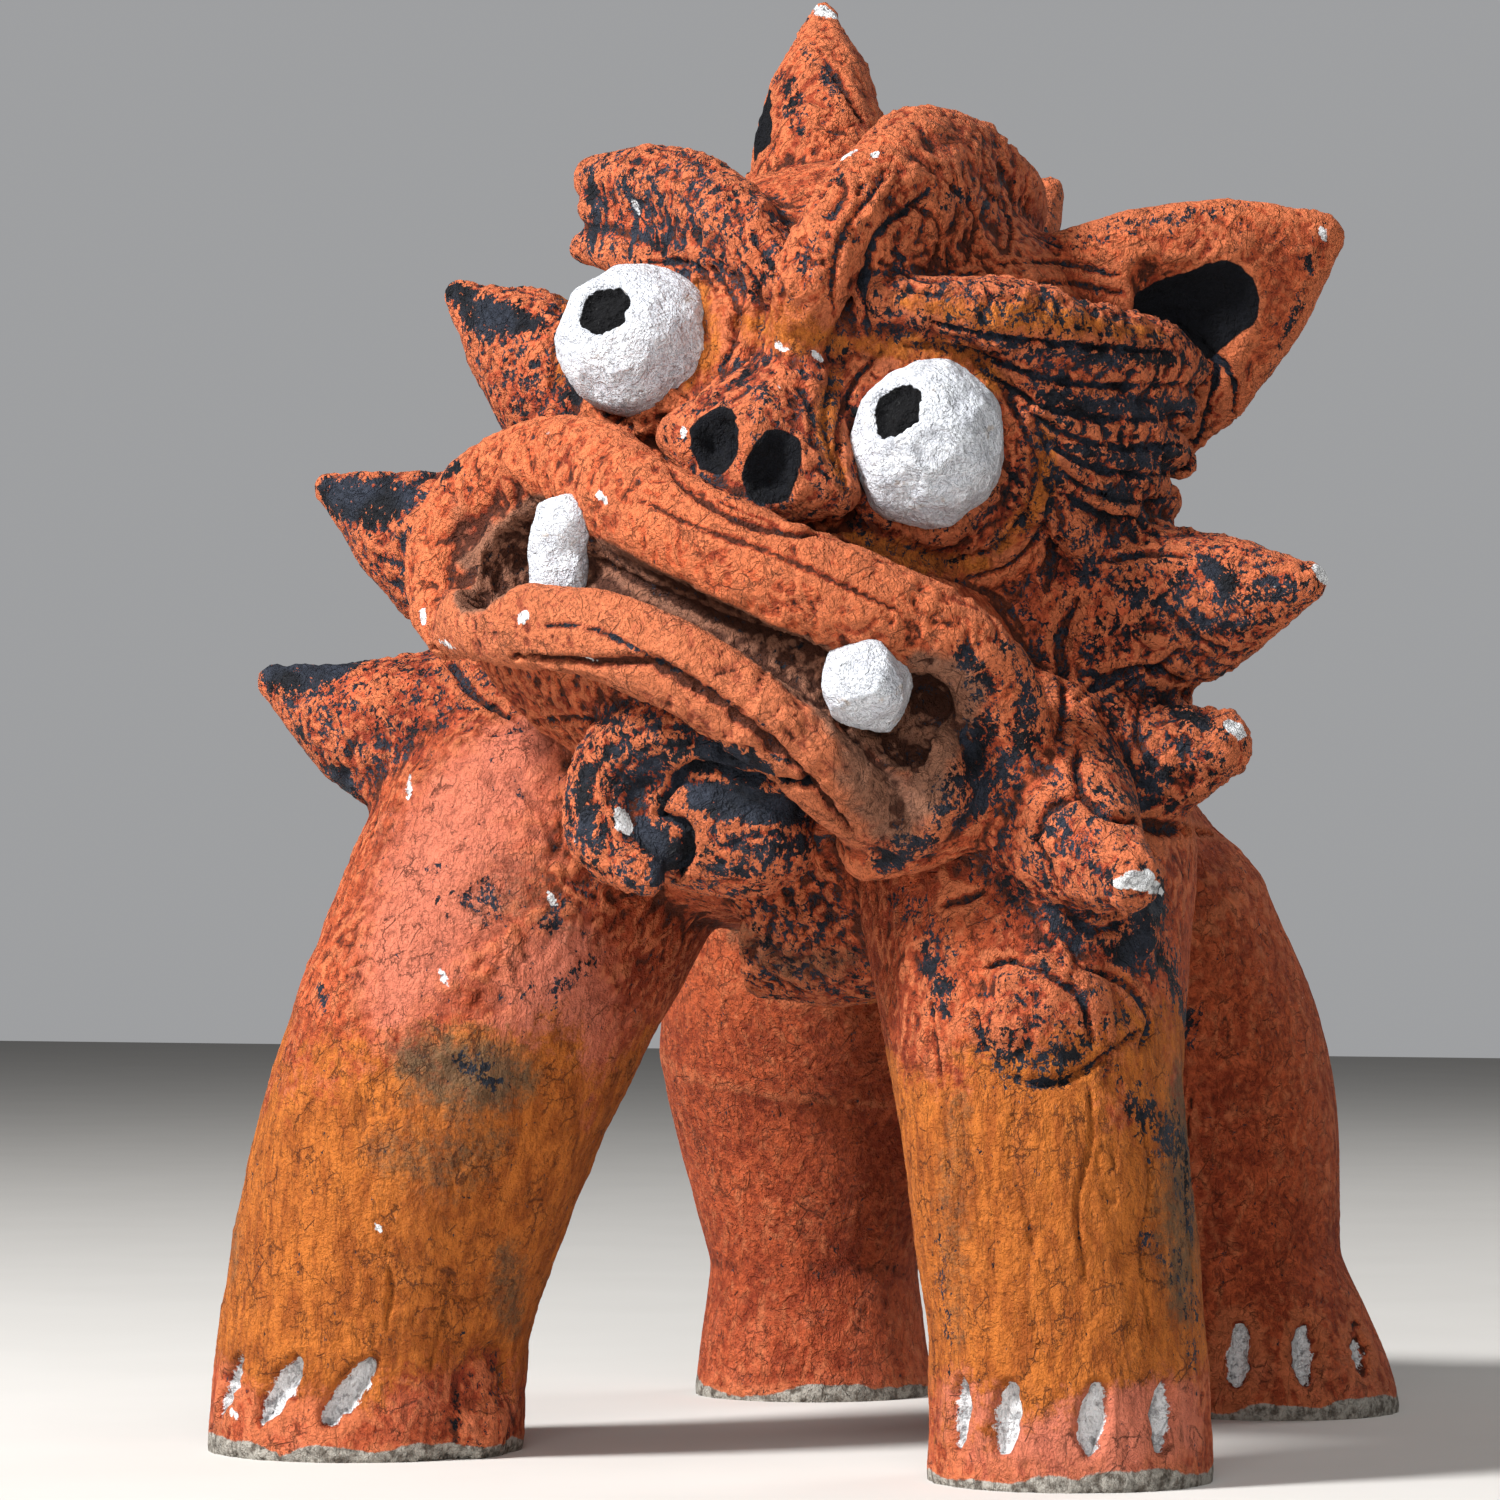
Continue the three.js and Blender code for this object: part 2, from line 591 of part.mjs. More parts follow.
// Where each nostril opens on the head, and the way it leans.
const NOSTRILS = [
  { away: [-0.04, -1.07, -0.1], lean: [-4, 0, 6] },
  { away: [0.22, -1.08, -0.1], lean: [1, 0, 7] },
];
lute(
  "nose",
  SLATE_CLAY,
  headGroup,
  (grow) => {
    const corners = NOSE_CORNERS.flatMap(({ place, size }) => {
      const radius = NOSE_CORNER_RADIUS * size + grow;
      const corner = new THREE.IcosahedronGeometry(radius, 1).translate(...onHead(...place));
      const points = corner.attributes.position;
      return Array.from({ length: points.count }, (_, i) => vector([0, 0, 0]).fromBufferAttribute(points, i));
    });
    return solidOf(new ConvexGeometry(corners));
  },
  (grow) =>
    join(
      NOSTRILS.map(({ away, lean }) => {
        const along = vector(lean).setLength(NOSTRIL_LENGTH / 2);
        const [low, high] = [-1, 1].map((way) => vector(onHead(...away)).addScaledVector(along, way));
        return roll([low, high], [[0, NOSTRIL_RADIUS], [1, NOSTRIL_RADIUS * 0.8]], { rings: 1 }, grow);
      }),
    ),
);

// Lips: two straps that meet at the corners of the mouth. Each point is azimuth, elevation and how many
// times LIP_PROUD it stands off the muzzle.
const UPPER_LIP = [
  [-58, -16, 1], [-70, 4, 1], [-66, 28, 1], [-42, 42, 1.25], [-14, 36, 1.25], [12, 30, 1.25],
  [36, 26, 1.25], [58, 22, 1.25], [72, 8, 1], [77, -6, 1.25], [71, -26, 1.5], [60, -42, 2],
];
const LOWER_LIP = [
  [-58, -20, 1], [-42, -14, 1], [-24, -8, 1.25], [-6, -3, 1.25],
  [10, -6, 1.25], [26, -14, 1.25], [44, -26, 1.5], [64, -38, 2],
];
const LIPS = [
  { name: "lip_upper", material: RED_CLAY, line: UPPER_LIP, radius: LIP_RADIUS, rings: 15 },
  { name: "lip_lower", material: DUSTY_CLAY, line: LOWER_LIP, radius: LOWER_LIP_RADIUS, rings: 10 },
];
for (const { name, material, line, radius, rings } of LIPS) {
  const path = line.map(([azimuth, elevation, out]) => onBall(MUZZLE, azimuth, elevation, out * LIP_PROUD));
  const girth = [
    [0, radius * 0.7],
    [0.15, radius * 0.85],
    [0.5, radius],
    [0.9, radius * 0.85],
    [1, radius * 0.7],
  ];
  const shape = { sides: 8, rings, face: Y_AXIS, flatness: LIP_FLATNESS };
  lute(name, material, headGroup, (grow) => roll(path, girth, shape, grow));
}

// The right fang hangs as a slab from the upper lip, and the left one is a knob that points forward.
const fangTop = mouthPoint([-26, 27], FANG_RADIUS * 0.6);
const fangGirth = [[0, FANG_RADIUS], [1, FANG_RADIUS * 0.9]];
lute("fang_right", WHITE_PAINT, headGroup, (grow) =>
  roll(
    [fangTop, fangTop.clone().addScaledVector(vector([-0.1, 0.05, -1]), FANG_LENGTH)],
    fangGirth,
    { flatness: 0.6, face: Y_AXIS, rings: 2 },
    grow,
  ),
);
const knobRoot = mouthPoint([44, 3], -KNOB_RADIUS * 0.25);
lute("fang_left", WHITE_PAINT, headGroup, (grow) =>
  roll(
    [knobRoot, knobRoot.clone().addScaledVector(vector([-0.2, -1, 0.1]), KNOB_RADIUS)],
    [[0, KNOB_RADIUS * 0.85], [1, KNOB_RADIUS]],
    { sides: 10, rings: 2 },
    grow,
  ),
);

// A goatee that curls round on itself like a breaking wave, placed in half widths of the beard.
const chin = onBall(MUZZLE, 20, -58);
const fromChin = (shares) => chin.clone().addScaledVector(vector(shares), BEARD_RADII[0]);
lute("beard", SLATE_CLAY, headGroup, (grow) =>
  ball({ at: [...fromChin([0.14, -0.1, -0.18])], radii: BEARD_RADII }, grow, 12),
);
const CURL = [
  [0.73, -0.36, 0.45],
  [-0.18, -0.55, 0.55],
  [-0.73, -0.55, 0.1],
  [-0.55, -0.7, -0.55],
  [0, -0.8, -0.73],
];
const CURL_GIRTH = [
  [0, BEARD_CURL_RADIUS * 0.7],
  [0.35, BEARD_CURL_RADIUS],
  [0.75, BEARD_CURL_RADIUS * 0.85],
  [1, BEARD_CURL_RADIUS * 0.45],
];
lute("beard_curl", SLATE_CLAY, headGroup, (grow) =>
  roll(CURL.map(fromChin), CURL_GIRTH, { face: Y_AXIS, sides: 9, rings: 10 }, grow),
);

// Mane and tail. The mane is two thick slabs down the sides of the head, with hooked tufts luted on.

for (const [name, side] of [["mane_left", 1], ["mane_right", -1]]) {
  lute(name, RED_CLAY, headGroup, (grow) =>
    ball(MANE, grow, 16).trimByPlane([side, 0, 0], MANE_PARTING - grow),
  );
}

// Root and tip of each side tuft from the middle of the mane, and how far it sags between them, all in half
// widths of the mane. A blunt one ends like a thumb.
const SIDE_TUFTS = [
  { name: "tuft_left_upper", root: [0.62, -0.04, 0.24], tip: [1.22, -0.07, 0.51], sag: 0.01 },
  { name: "tuft_left_middle", root: [0.64, -0.1, -0.04], tip: [1.13, -0.14, 0.08], sag: 0.06, blunt: 2 },
  { name: "tuft_left_lower", root: [0.72, -0.3, -0.14], tip: [1.2, -0.62, -0.24], sag: 0, blunt: 1.6 },
  { name: "tuft_right_upper", root: [-0.58, 0, 0.32], tip: [-1.17, -0.1, 0.57], sag: 0 },
  { name: "tuft_right_middle", root: [-0.68, -0.07, -0.06], tip: [-1.32, -0.21, 0.01], sag: 0.02 },
  { name: "tuft_right_lower", root: [-0.64, -0.12, -0.48], tip: [-1.3, -0.27, -0.49], sag: 0.04 },
];
const MANE_HALF_WIDTH = MANE.radii[0];
const tuftGirth = (radius, blunt = 1) => [
  [0, radius],
  [0.45, radius * 0.75],
  [0.75, radius * 0.48],
  [1, TUFT_TIP_RADIUS * blunt],
];
for (const { name, root, tip, sag, blunt } of SIDE_TUFTS) {
  const [start, end] = [root, tip].map((shares) =>
    vector(MANE.at).addScaledVector(vector(shares), MANE_HALF_WIDTH),
  );
  const middle = start.clone().lerp(end, 0.6).addScaledVector(Z_AXIS, -sag * MANE_HALF_WIDTH);
  const shape = { face: Y_AXIS, flatness: 0.8, sides: 8, rings: 5 };
  const girth = tuftGirth(TUFT_RADIUS, blunt);
  lute(name, SLATE_CLAY, headGroup, (grow) => roll([start, middle, end], girth, shape, grow));
}

// Tufts down the back of the head and round the back of the mane.
const NAPE_TUFTS = [
  { name: "tuft_nape_top", on: SKULL, azimuth: 176, elevation: 38 },
  { name: "tuft_nape_middle", on: SKULL, azimuth: 180, elevation: 6 },
  { name: "tuft_nape_left", on: MANE, azimuth: 140, elevation: 10 },
  { name: "tuft_nape_right", on: MANE, azimuth: -140, elevation: 10 },
];
for (const { name, on, azimuth, elevation } of NAPE_TUFTS) {
  const root = onBall(on, azimuth, elevation, -NAPE_TUFT_RADIUS / 2);
  const outward = onBall(on, azimuth, elevation, 1).sub(onBall(on, azimuth, elevation, 0)).normalize();
  const middle = root.clone().addScaledVector(outward, NAPE_TUFT_LENGTH * 0.6);
  const tip = root.clone().addScaledVector(outward, NAPE_TUFT_LENGTH);
  tip.addScaledVector(Z_AXIS, NAPE_TUFT_LENGTH / 3);
  const girth = tuftGirth(NAPE_TUFT_RADIUS);
  lute(name, SLATE_CLAY, headGroup, (grow) =>
    roll([root, middle, tip], girth, { sides: 8, rings: 5 }, grow),
  );
}

// The tail rises from the rump in a flame-shaped curl.
const tailRoot = rump.clone().addScaledVector(vector([0, BODY_FLATNESS, 0.12]), RUMP_HALF_WIDTH);
lute("tail", SLATE_CLAY, figure, (grow) =>
  roll(
    [[0, -0.08, 0], [0, 0.16, 0.25], [0.04, 0.16, 0.62], [-0.06, 0.02, 0.95]].map((share) =>
      tailRoot.clone().addScaledVector(vector(share), TAIL_LENGTH),
    ),
    [[0, TAIL_RADIUS * 0.8], [0.4, TAIL_RADIUS], [0.8, TAIL_RADIUS * 0.6], [1, TUFT_TIP_RADIUS]],
    { face: X_AXIS, flatness: 0.75, sides: 10, rings: 9 },
    grow,
  ),
);

// The origin goes on the ground, under the middle of the bounding box.
const bounds = new THREE.Box3().setFromObject(figure, true);
const middle = bounds.getCenter(new THREE.Vector3());
figure.position.set(-middle.x, -middle.y, -bounds.min.z);

export default figure;
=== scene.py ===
"""A hand-built terracotta monster: cocked head, bulging eyes, a crooked mouth and a mane of hooked tufts.

The clay is modelled as the potter does it. Each lump, coil and slab is shaped by itself, all of them are
luted into one mass, the hollows are cut out, and fingers and tools then mark the wet surface. At the end
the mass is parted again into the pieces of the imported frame, so each piece has a skin of its own.
Lengths are in millimetres until the pieces are made, and in metres from then on.
"""
import sys
import logging
import math
from dataclasses import dataclass, field
from enum import Enum
from typing import Iterable, Sequence

import bmesh
import bpy
import numpy as np
from mathutils import Matrix, Vector
from mathutils.bvhtree import BVHTree
from mathutils.kdtree import KDTree


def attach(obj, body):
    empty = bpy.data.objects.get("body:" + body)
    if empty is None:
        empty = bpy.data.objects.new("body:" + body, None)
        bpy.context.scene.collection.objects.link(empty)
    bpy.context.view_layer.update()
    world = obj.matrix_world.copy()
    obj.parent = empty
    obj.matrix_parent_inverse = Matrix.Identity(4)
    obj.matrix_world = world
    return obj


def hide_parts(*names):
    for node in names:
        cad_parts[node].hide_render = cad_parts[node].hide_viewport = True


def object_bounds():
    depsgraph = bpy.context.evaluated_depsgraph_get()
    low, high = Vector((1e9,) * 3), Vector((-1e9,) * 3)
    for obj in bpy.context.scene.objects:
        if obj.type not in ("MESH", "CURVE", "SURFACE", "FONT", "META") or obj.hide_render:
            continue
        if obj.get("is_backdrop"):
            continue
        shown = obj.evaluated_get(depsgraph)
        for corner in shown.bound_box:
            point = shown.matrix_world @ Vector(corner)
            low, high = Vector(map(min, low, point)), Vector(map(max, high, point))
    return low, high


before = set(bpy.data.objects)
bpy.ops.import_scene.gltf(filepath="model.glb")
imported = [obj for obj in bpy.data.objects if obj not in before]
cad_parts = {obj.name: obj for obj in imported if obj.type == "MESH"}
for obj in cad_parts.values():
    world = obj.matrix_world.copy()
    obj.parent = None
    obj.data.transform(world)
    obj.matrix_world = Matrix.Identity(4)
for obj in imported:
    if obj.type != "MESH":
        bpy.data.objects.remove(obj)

log = logging.getLogger("clay_monster")

Point = Sequence[float]
Points = tuple[Point, ...]
Girth = Sequence[tuple[float, float]]
BMesh = bmesh.types.BMesh
Object = bpy.types.Object
Socket = bpy.types.NodeSocket

MM = 0.001
ORIGIN = Vector((-7.988, 5.103, 0.0))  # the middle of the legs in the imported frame, in mm
X_AXIS = Vector((1, 0, 0))
Y_AXIS = Vector((0, 1, 0))
Z_AXIS = Vector((0, 0, 1))


class Slot(Enum):
    """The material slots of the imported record."""

    RED = "red_clay"
    OCHRE = "ochre_clay"
    SLATE = "slate_clay"
    DUSTY = "dusty_clay"
    WHITE = "white_paint"


class Paint(Enum):
    """What a vertex of the clay can carry, each as an amount from 0 to 1."""

    SLATE = "slate"
    OCHRE = "ochre"
    SALMON = "salmon"
    # near-black on the walls of hollows: black paint, deepened into painted shade
    PIT = "pit"
    WHITE = "white"
    DUST = "dust"
    RAW = "raw"
    # dark smudges, some of them painted shade
    SMOKE = "smudge_and_shade"
    # how hollow the clay is there; the clay shader darkens the hollows with it as painted shade and lightens
    # the ridges as painted highlight
    CAVITY = "cavity"


# Shaping clay


def swell(radius: float, *shares: tuple[float, float]) -> Girth:
    """A girth from pairs of share of the path and share of a radius."""
    return tuple((place, radius * share) for place, share in shares)


def slice_off(bm: BMesh, at: Point, away: Point) -> None:
    """Cuts a mesh off at a plane, keeps the side that `away` points to, and closes it flat.

    Args:
        bm: The mesh.
        at: A point of the plane.
        away: The plane's normal, towards what stays.
    """
    every = bm.verts[:] + bm.edges[:] + bm.faces[:]
    bmesh.ops.bisect_plane(bm, geom=every, plane_co=at, plane_no=away, clear_inner=True)
    bmesh.ops.holes_fill(bm, edges=[e for e in bm.edges if e.is_boundary])


def show(name: str, data: bpy.types.ID) -> Object:
    """Puts data into the scene as an object.

    Args:
        name: The object's name.
        data: Its mesh or light.

    Returns:
        The object.
    """
    made = bpy.data.objects.new(name, data)
    bpy.context.scene.collection.objects.link(made)
    return made


def carry(mesh: bpy.types.Mesh, paint: Paint, amounts: np.ndarray) -> None:
    """Stores how much of a paint each vertex of a mesh carries."""
    held = mesh.attributes.new(paint.value, "FLOAT", "POINT")
    held.data.foreach_set("value", amounts.astype(np.float32))


@dataclass(frozen=True)
class Ball:
    """A ball of clay pressed to three radii.

    Attributes:
        at: Its centre.
        radii: Half its size along X, Y and Z.
    """

    at: Point
    radii: Point

    def point(self, azimuth: float, elevation: float, out: float = 0.0) -> Vector:
        """Finds a point on the ball.

        Args:
            azimuth: Degrees from -Y towards +X.
            elevation: Degrees above the middle.
            out: How far beyond the surface.

        Returns:
            The point, in the ball's own frame.
        """
        a, e = math.radians(azimuth), math.radians(elevation)
        away = Vector((math.sin(a) * math.cos(e), -math.cos(a) * math.cos(e), math.sin(e)))
        return Vector(self.at) + Vector((r + out) * w for r, w in zip(self.radii, away))

    def build(self, grow: float = 0.0) -> BMesh:
        """Makes the ball's mesh, `grow` larger all round.

        Args:
            grow: How much larger the mesh is all round, in mm.

        Returns:
            The mesh.
        """
        bm = bmesh.new()
        size = Matrix.Diagonal([r + grow for r in self.radii]).to_4x4()
        place = Matrix.Translation(Vector(self.at)) @ size
        bmesh.ops.create_uvsphere(bm, u_segments=48, v_segments=28, radius=1, matrix=place)
        return bm


@dataclass(frozen=True)
class HalfBall:
    """A ball cut off flat on one side.

    Attributes:
        ball: The whole ball.
        side: 1 keeps its +X side, -1 its -X side.
        inset: How far from the middle it is cut.
    """

    ball: Ball
    side: int
    inset: float

    def build(self, grow: float = 0.0) -> BMesh:
        """Makes the mesh, `grow` larger all round.

        Args:
            grow: How much larger the mesh is all round, in mm.

        Returns:
            The mesh.
        """
        bm = self.ball.build(grow)
        slice_off(bm, (self.side * self.inset, 0, 0), (self.side, 0, 0))
        return bm


class Path:
    """A centripetal curve through points, walked by share of its length."""

    SAMPLES = 24  # between two points
    STRIDE = 0.01  # share of the length over which a heading is taken

    def __init__(self, points: Iterable[Point]) -> None:
        """Samples the curve.

        Args:
            points: The points that it goes through.
        """
        through = [np.array(p, float) for p in points]
        ends = [2 * through[0] - through[1], *through, 2 * through[-1] - through[-2]]
        samples = [through[0]]
        for p0, p1, p2, p3 in zip(ends, ends[1:], ends[2:], ends[3:]):
            d0, d1, d2 = (max(np.linalg.norm(b - a), 1e-6) ** 0.5 for a, b in ((p0, p1), (p1, p2), (p2, p3)))
            t1 = ((p1 - p0) / d0 - (p2 - p0) / (d0 + d1) + (p2 - p1) / d1) * d1
            t2 = ((p2 - p1) / d1 - (p3 - p1) / (d1 + d2) + (p3 - p2) / d2) * d1
            s = np.linspace(0, 1, self.SAMPLES + 1)[1:, None]
            bend, twist = 3 * (p2 - p1) - 2 * t1 - t2, 2 * (p1 - p2) + t1 + t2
            samples.extend(p1 + t1 * s + bend * s**2 + twist * s**3)
        self.samples = np.array(samples)
        steps = np.linalg.norm(np.diff(self.samples, axis=0), axis=1)
        self.walked = np.concatenate([[0], np.cumsum(steps)])

    @property
    def length(self) -> float:
        """The length of the curve."""
        return float(self.walked[-1])

    def at(self, share: float) -> Vector:
        """The point at a share of the length."""
        return Vector(np.interp(share * self.length, self.walked, column) for column in self.samples.T)

    def heading(self, share: float) -> Vector:
        """The direction of travel at a share of the length."""
        low, high = max(share - self.STRIDE, 0), min(share + self.STRIDE, 1)
        return (self.at(high) - self.at(low)).normalized()


@dataclass(frozen=True)
class Coil:
    """A coil of clay rolled out along a path and rounded off at both ends.

    Attributes:
        path: The points that it runs through.
        girth: Pairs of share of the path and radius, or of height and radius with by_height.
        flatness: Its thickness along face over its width.
        face: The direction that it is thin along.
        by_height: Whether girth goes by height.
        sides: Corners of a section.
    """

    path: Sequence[Point]
    girth: Girth
    flatness: float = 1.0
    face: Vector = field(default_factory=lambda: Z_AXIS)
    by_height: bool = False
    sides: int = 32

    RING = 3.0  # mm from one ring to the next
    DOME = 6  # rings that round an end off
    POLE = 0.04  # radius of the last of them over the coil's

    def build(self, grow: float = 0.0) -> BMesh:
        """Makes the coil's mesh from rings that are bridged to each other.

        Args:
            grow: How much larger than its sizes it is all round.

        Returns:
            The closed mesh.
        """
        bm = bmesh.new()
        path = Path(self.path)
        places, radii = zip(*self.girth)
        rings: list[list[bmesh.types.BMEdge]] = []

        def section(share: float, along: float, size: float) -> None:
            heading = path.heading(share)
            thin = (self.face - heading * self.face.dot(heading)).normalized()
            centre = path.at(share)
            radius = float(np.interp(centre.z if self.by_height else share, places, radii))
            thickness = radius * self.flatness + grow
            centre += heading * along * thickness
            wide = heading.cross(thin) * (radius + grow) * size
            thin = thin * thickness * size
            place = Matrix((wide, thin, heading)).transposed().to_4x4()
            place.translation = centre
            last = size == self.POLE
            made = bmesh.ops.create_circle(bm, cap_ends=last, segments=self.sides, radius=1, matrix=place)
            inside = set(made["verts"])
            edges = {e for v in made["verts"] for e in v.link_edges}
            rings.append([e for e in edges if set(e.verts) <= inside])

        turns = np.linspace(0, math.pi / 2, self.DOME + 1)[1:]
        for turn in turns[::-1]:
            section(0, -math.sin(turn), max(math.cos(turn), self.POLE))
        steps = max(int(path.length / self.RING), self.DOME)
        for i in range(steps + 1):
            section(i / steps, 0, 1)
        for turn in turns:
            section(1, math.sin(turn), max(math.cos(turn), self.POLE))
        for low, high in zip(rings, rings[1:]):
            bmesh.ops.bridge_loops(bm, edges=low + high)
        bmesh.ops.recalc_face_normals(bm, faces=bm.faces[:])
        return bm


@dataclass(frozen=True)
class Hull:
    """Clay pressed flat between balls, as if a cloth were pulled tight over them.

    Attributes:
        balls: Centre and radius of each ball.
    """

    balls: Sequence[tuple[Point, float]]

    EDGE = 3.0  # mm, where longer edges are halved

    def build(self, grow: float = 0.0) -> BMesh:
        """Makes the mesh, `grow` larger all round.

        Args:
            grow: How much larger the mesh is all round, in mm.

        Returns:
            The mesh.
        """
        bm = bmesh.new()
        for centre, radius in self.balls:
            place = Matrix.Translation(Vector(centre))
            bmesh.ops.create_icosphere(bm, subdivisions=3, radius=radius + grow, matrix=place)
        hull = bmesh.ops.convex_hull(bm, input=bm.verts[:])
        inside = [v for v in hull["geom_interior"] + hull["geom_unused"] if isinstance(v, bmesh.types.BMVert)]
        bmesh.ops.delete(bm, geom=inside, context="VERTS")
        for _ in range(4):
            long = [e for e in bm.edges if e.calc_length() > self.EDGE]
            bmesh.ops.subdivide_edges(bm, edges=long, cuts=1)
            bmesh.ops.triangulate(bm, faces=bm.faces[:])
        bmesh.ops.recalc_face_normals(bm, faces=bm.faces[:])
        return bm


class Noise:
    """Smooth random values over space, the same on every run."""

    def __init__(self, seed: int) -> None:
        """Draws the lattice's directions from a seed.

        Args:
            seed: Starts the random draws.
        """
        rng = np.random.default_rng(seed)
        self.order = rng.permutation(256)
        self.order = np.concatenate([self.order, self.order])
        away = rng.normal(size=(256, 3))
        self.away = (away / np.linalg.norm(away, axis=1, keepdims=True)).astype(np.float32)

    def at(self, places: np.ndarray, size: float | Point) -> np.ndarray:
        """Reads the noise.

        Args:
            places: Points, one in a row.
            size: The size of a lump of the noise, one number or three.

        Returns:
            A value from about -1 to 1 for each point.
        """
        p = (places / np.asarray(size, np.float32)).astype(np.float32)
        cell = np.floor(p).astype(np.int64)
        part = p - cell
        fade = part * part * part * (part * (part * 6 - 15) + 10)
        total = np.zeros(len(p), np.float32)
        for corner in range(8):
            step = np.array([corner & 1, corner >> 1 & 1, corner >> 2 & 1])
            i, j, k = ((cell + step) & 255).T
            away = self.away[self.order[self.order[self.order[i] + j] + k]]
            weight = np.where(step, fade, 1 - fade).prod(axis=1)
            total += weight * ((part - step) * away).sum(axis=1)
        return total * 1.6

    def layers(self, places: np.ndarray, size: float | Point, count: int = 3) -> np.ndarray:
        """Adds finer and finer layers of the noise, each half as strong."""
        sizes = [np.asarray(size, float) / 2**i for i in range(count)]
        return sum(self.at(places + 31.7 * i, s) / 2**i for i, s in enumerate(sizes))

    def cracks(self, places: np.ndarray, size: float | Point, width: float = 0.08) -> np.ndarray:
        """Thin wandering lines: 1 on a line and 0 away from it."""
        return np.clip(1 - np.abs(self.layers(places, size, 2)) / width, 0, 1)


def ramp(low: float, high: float, value: np.ndarray) -> np.ndarray:
    """Goes smoothly from 0 at low to 1 at high."""
    t = np.clip((value - low) / (high - low), 0, 1)
    return t * t * (3 - 2 * t)


def ledges(value: np.ndarray, height: float) -> np.ndarray:
    """Turns slopes into flat ledges with steep edges between them, each step of one height."""
    step = np.floor(value / height)
    return (step + ramp(0.36, 0.64, value / height - step)) * height


Form = Ball | HalfBall | Coil | Hull


# The photograph's view


@dataclass(frozen=True)
class View:
    """The camera of the photograph, 25 degrees round to the figure's left.

    Attributes:
        place: The lens, in mm from the middle of the legs.
        azimuth: Degrees round the figure.
        pitch: Degrees above level that it looks.
        lens: Focal length on the sensor, in mm.
        sensor: Width of the sensor, in mm.
        side: Width and height of the photograph, in pixels.
    """

    place: Point = (527.0, -1194.1, 115.0)
    azimuth: float = 25.0
    pitch: float = 1.432
    lens: float = 144.0
    sensor: float = 36.0
    side: float = 1500.0

    def turn(self) -> Matrix:
        """The camera's rotation: it looks along its own -Z."""
        upright = Matrix.Rotation(math.radians(90 + self.pitch), 3, "X")
        return Matrix.Rotation(math.radians(self.azimuth), 3, "Z") @ upright

    def ray(self, across: float, down: float) -> Vector:
        """The direction in which a pixel of the photograph looks.

        Args:
            across: Pixels from the left.
            down: Pixels from the top.

        Returns:
            The direction.
        """
        reach = self.side * self.lens / self.sensor
        ray = Vector((across - self.side / 2, self.side / 2 - down, -reach))
        return (self.turn() @ ray).normalized()

    def set_up(self) -> None:
        """Makes the camera."""
        data = bpy.data.cameras.new("camera")
        data.lens, data.sensor_width = self.lens, self.sensor
        data.clip_start, data.clip_end = 0.05, 20
        camera = show("camera", data)
        camera.location = (Vector(self.place) + ORIGIN) * MM
        camera.rotation_euler = self.turn().to_euler()
        bpy.context.scene.camera = camera


@dataclass(frozen=True)
class Stroke:
    """A mark that a finger, a tool or a brush leaves on the clay.

    Attributes:
        points: Where it runs, as pixels of the photograph, or as points of the figure if three long.
        width: Half its width.
        depth: How deep it is pressed in, or if negative, how high it is built up.
        paint: What it carries, if anything.
        amount: How much of that, from 0 to 1.
    """

    points: Sequence[Point]
    width: float
    depth: float = 0.0
    paint: Paint | None = None
    amount: float = 1.0

    @staticmethod
    def read(rows: Iterable[Sequence]) -> list["Stroke"]:
        """Reads strokes from a table.

        Args:
            rows: Each starts with the half width and depth, and the name and amount of the paint if there is
                any. The strokes with these follow, each as x and y of one pixel after the other.

        Returns:
            The strokes, in the order of the table.
        """
        made = []
        for (width, depth, *wet), *runs in rows:
            paint, amount = (Paint(wet[0]), wet[1]) if wet else (None, 1.0)
            made += [Stroke(tuple(zip(run[::2], run[1::2])), width, depth, paint, amount) for run in runs]
        return made


# The mass of clay


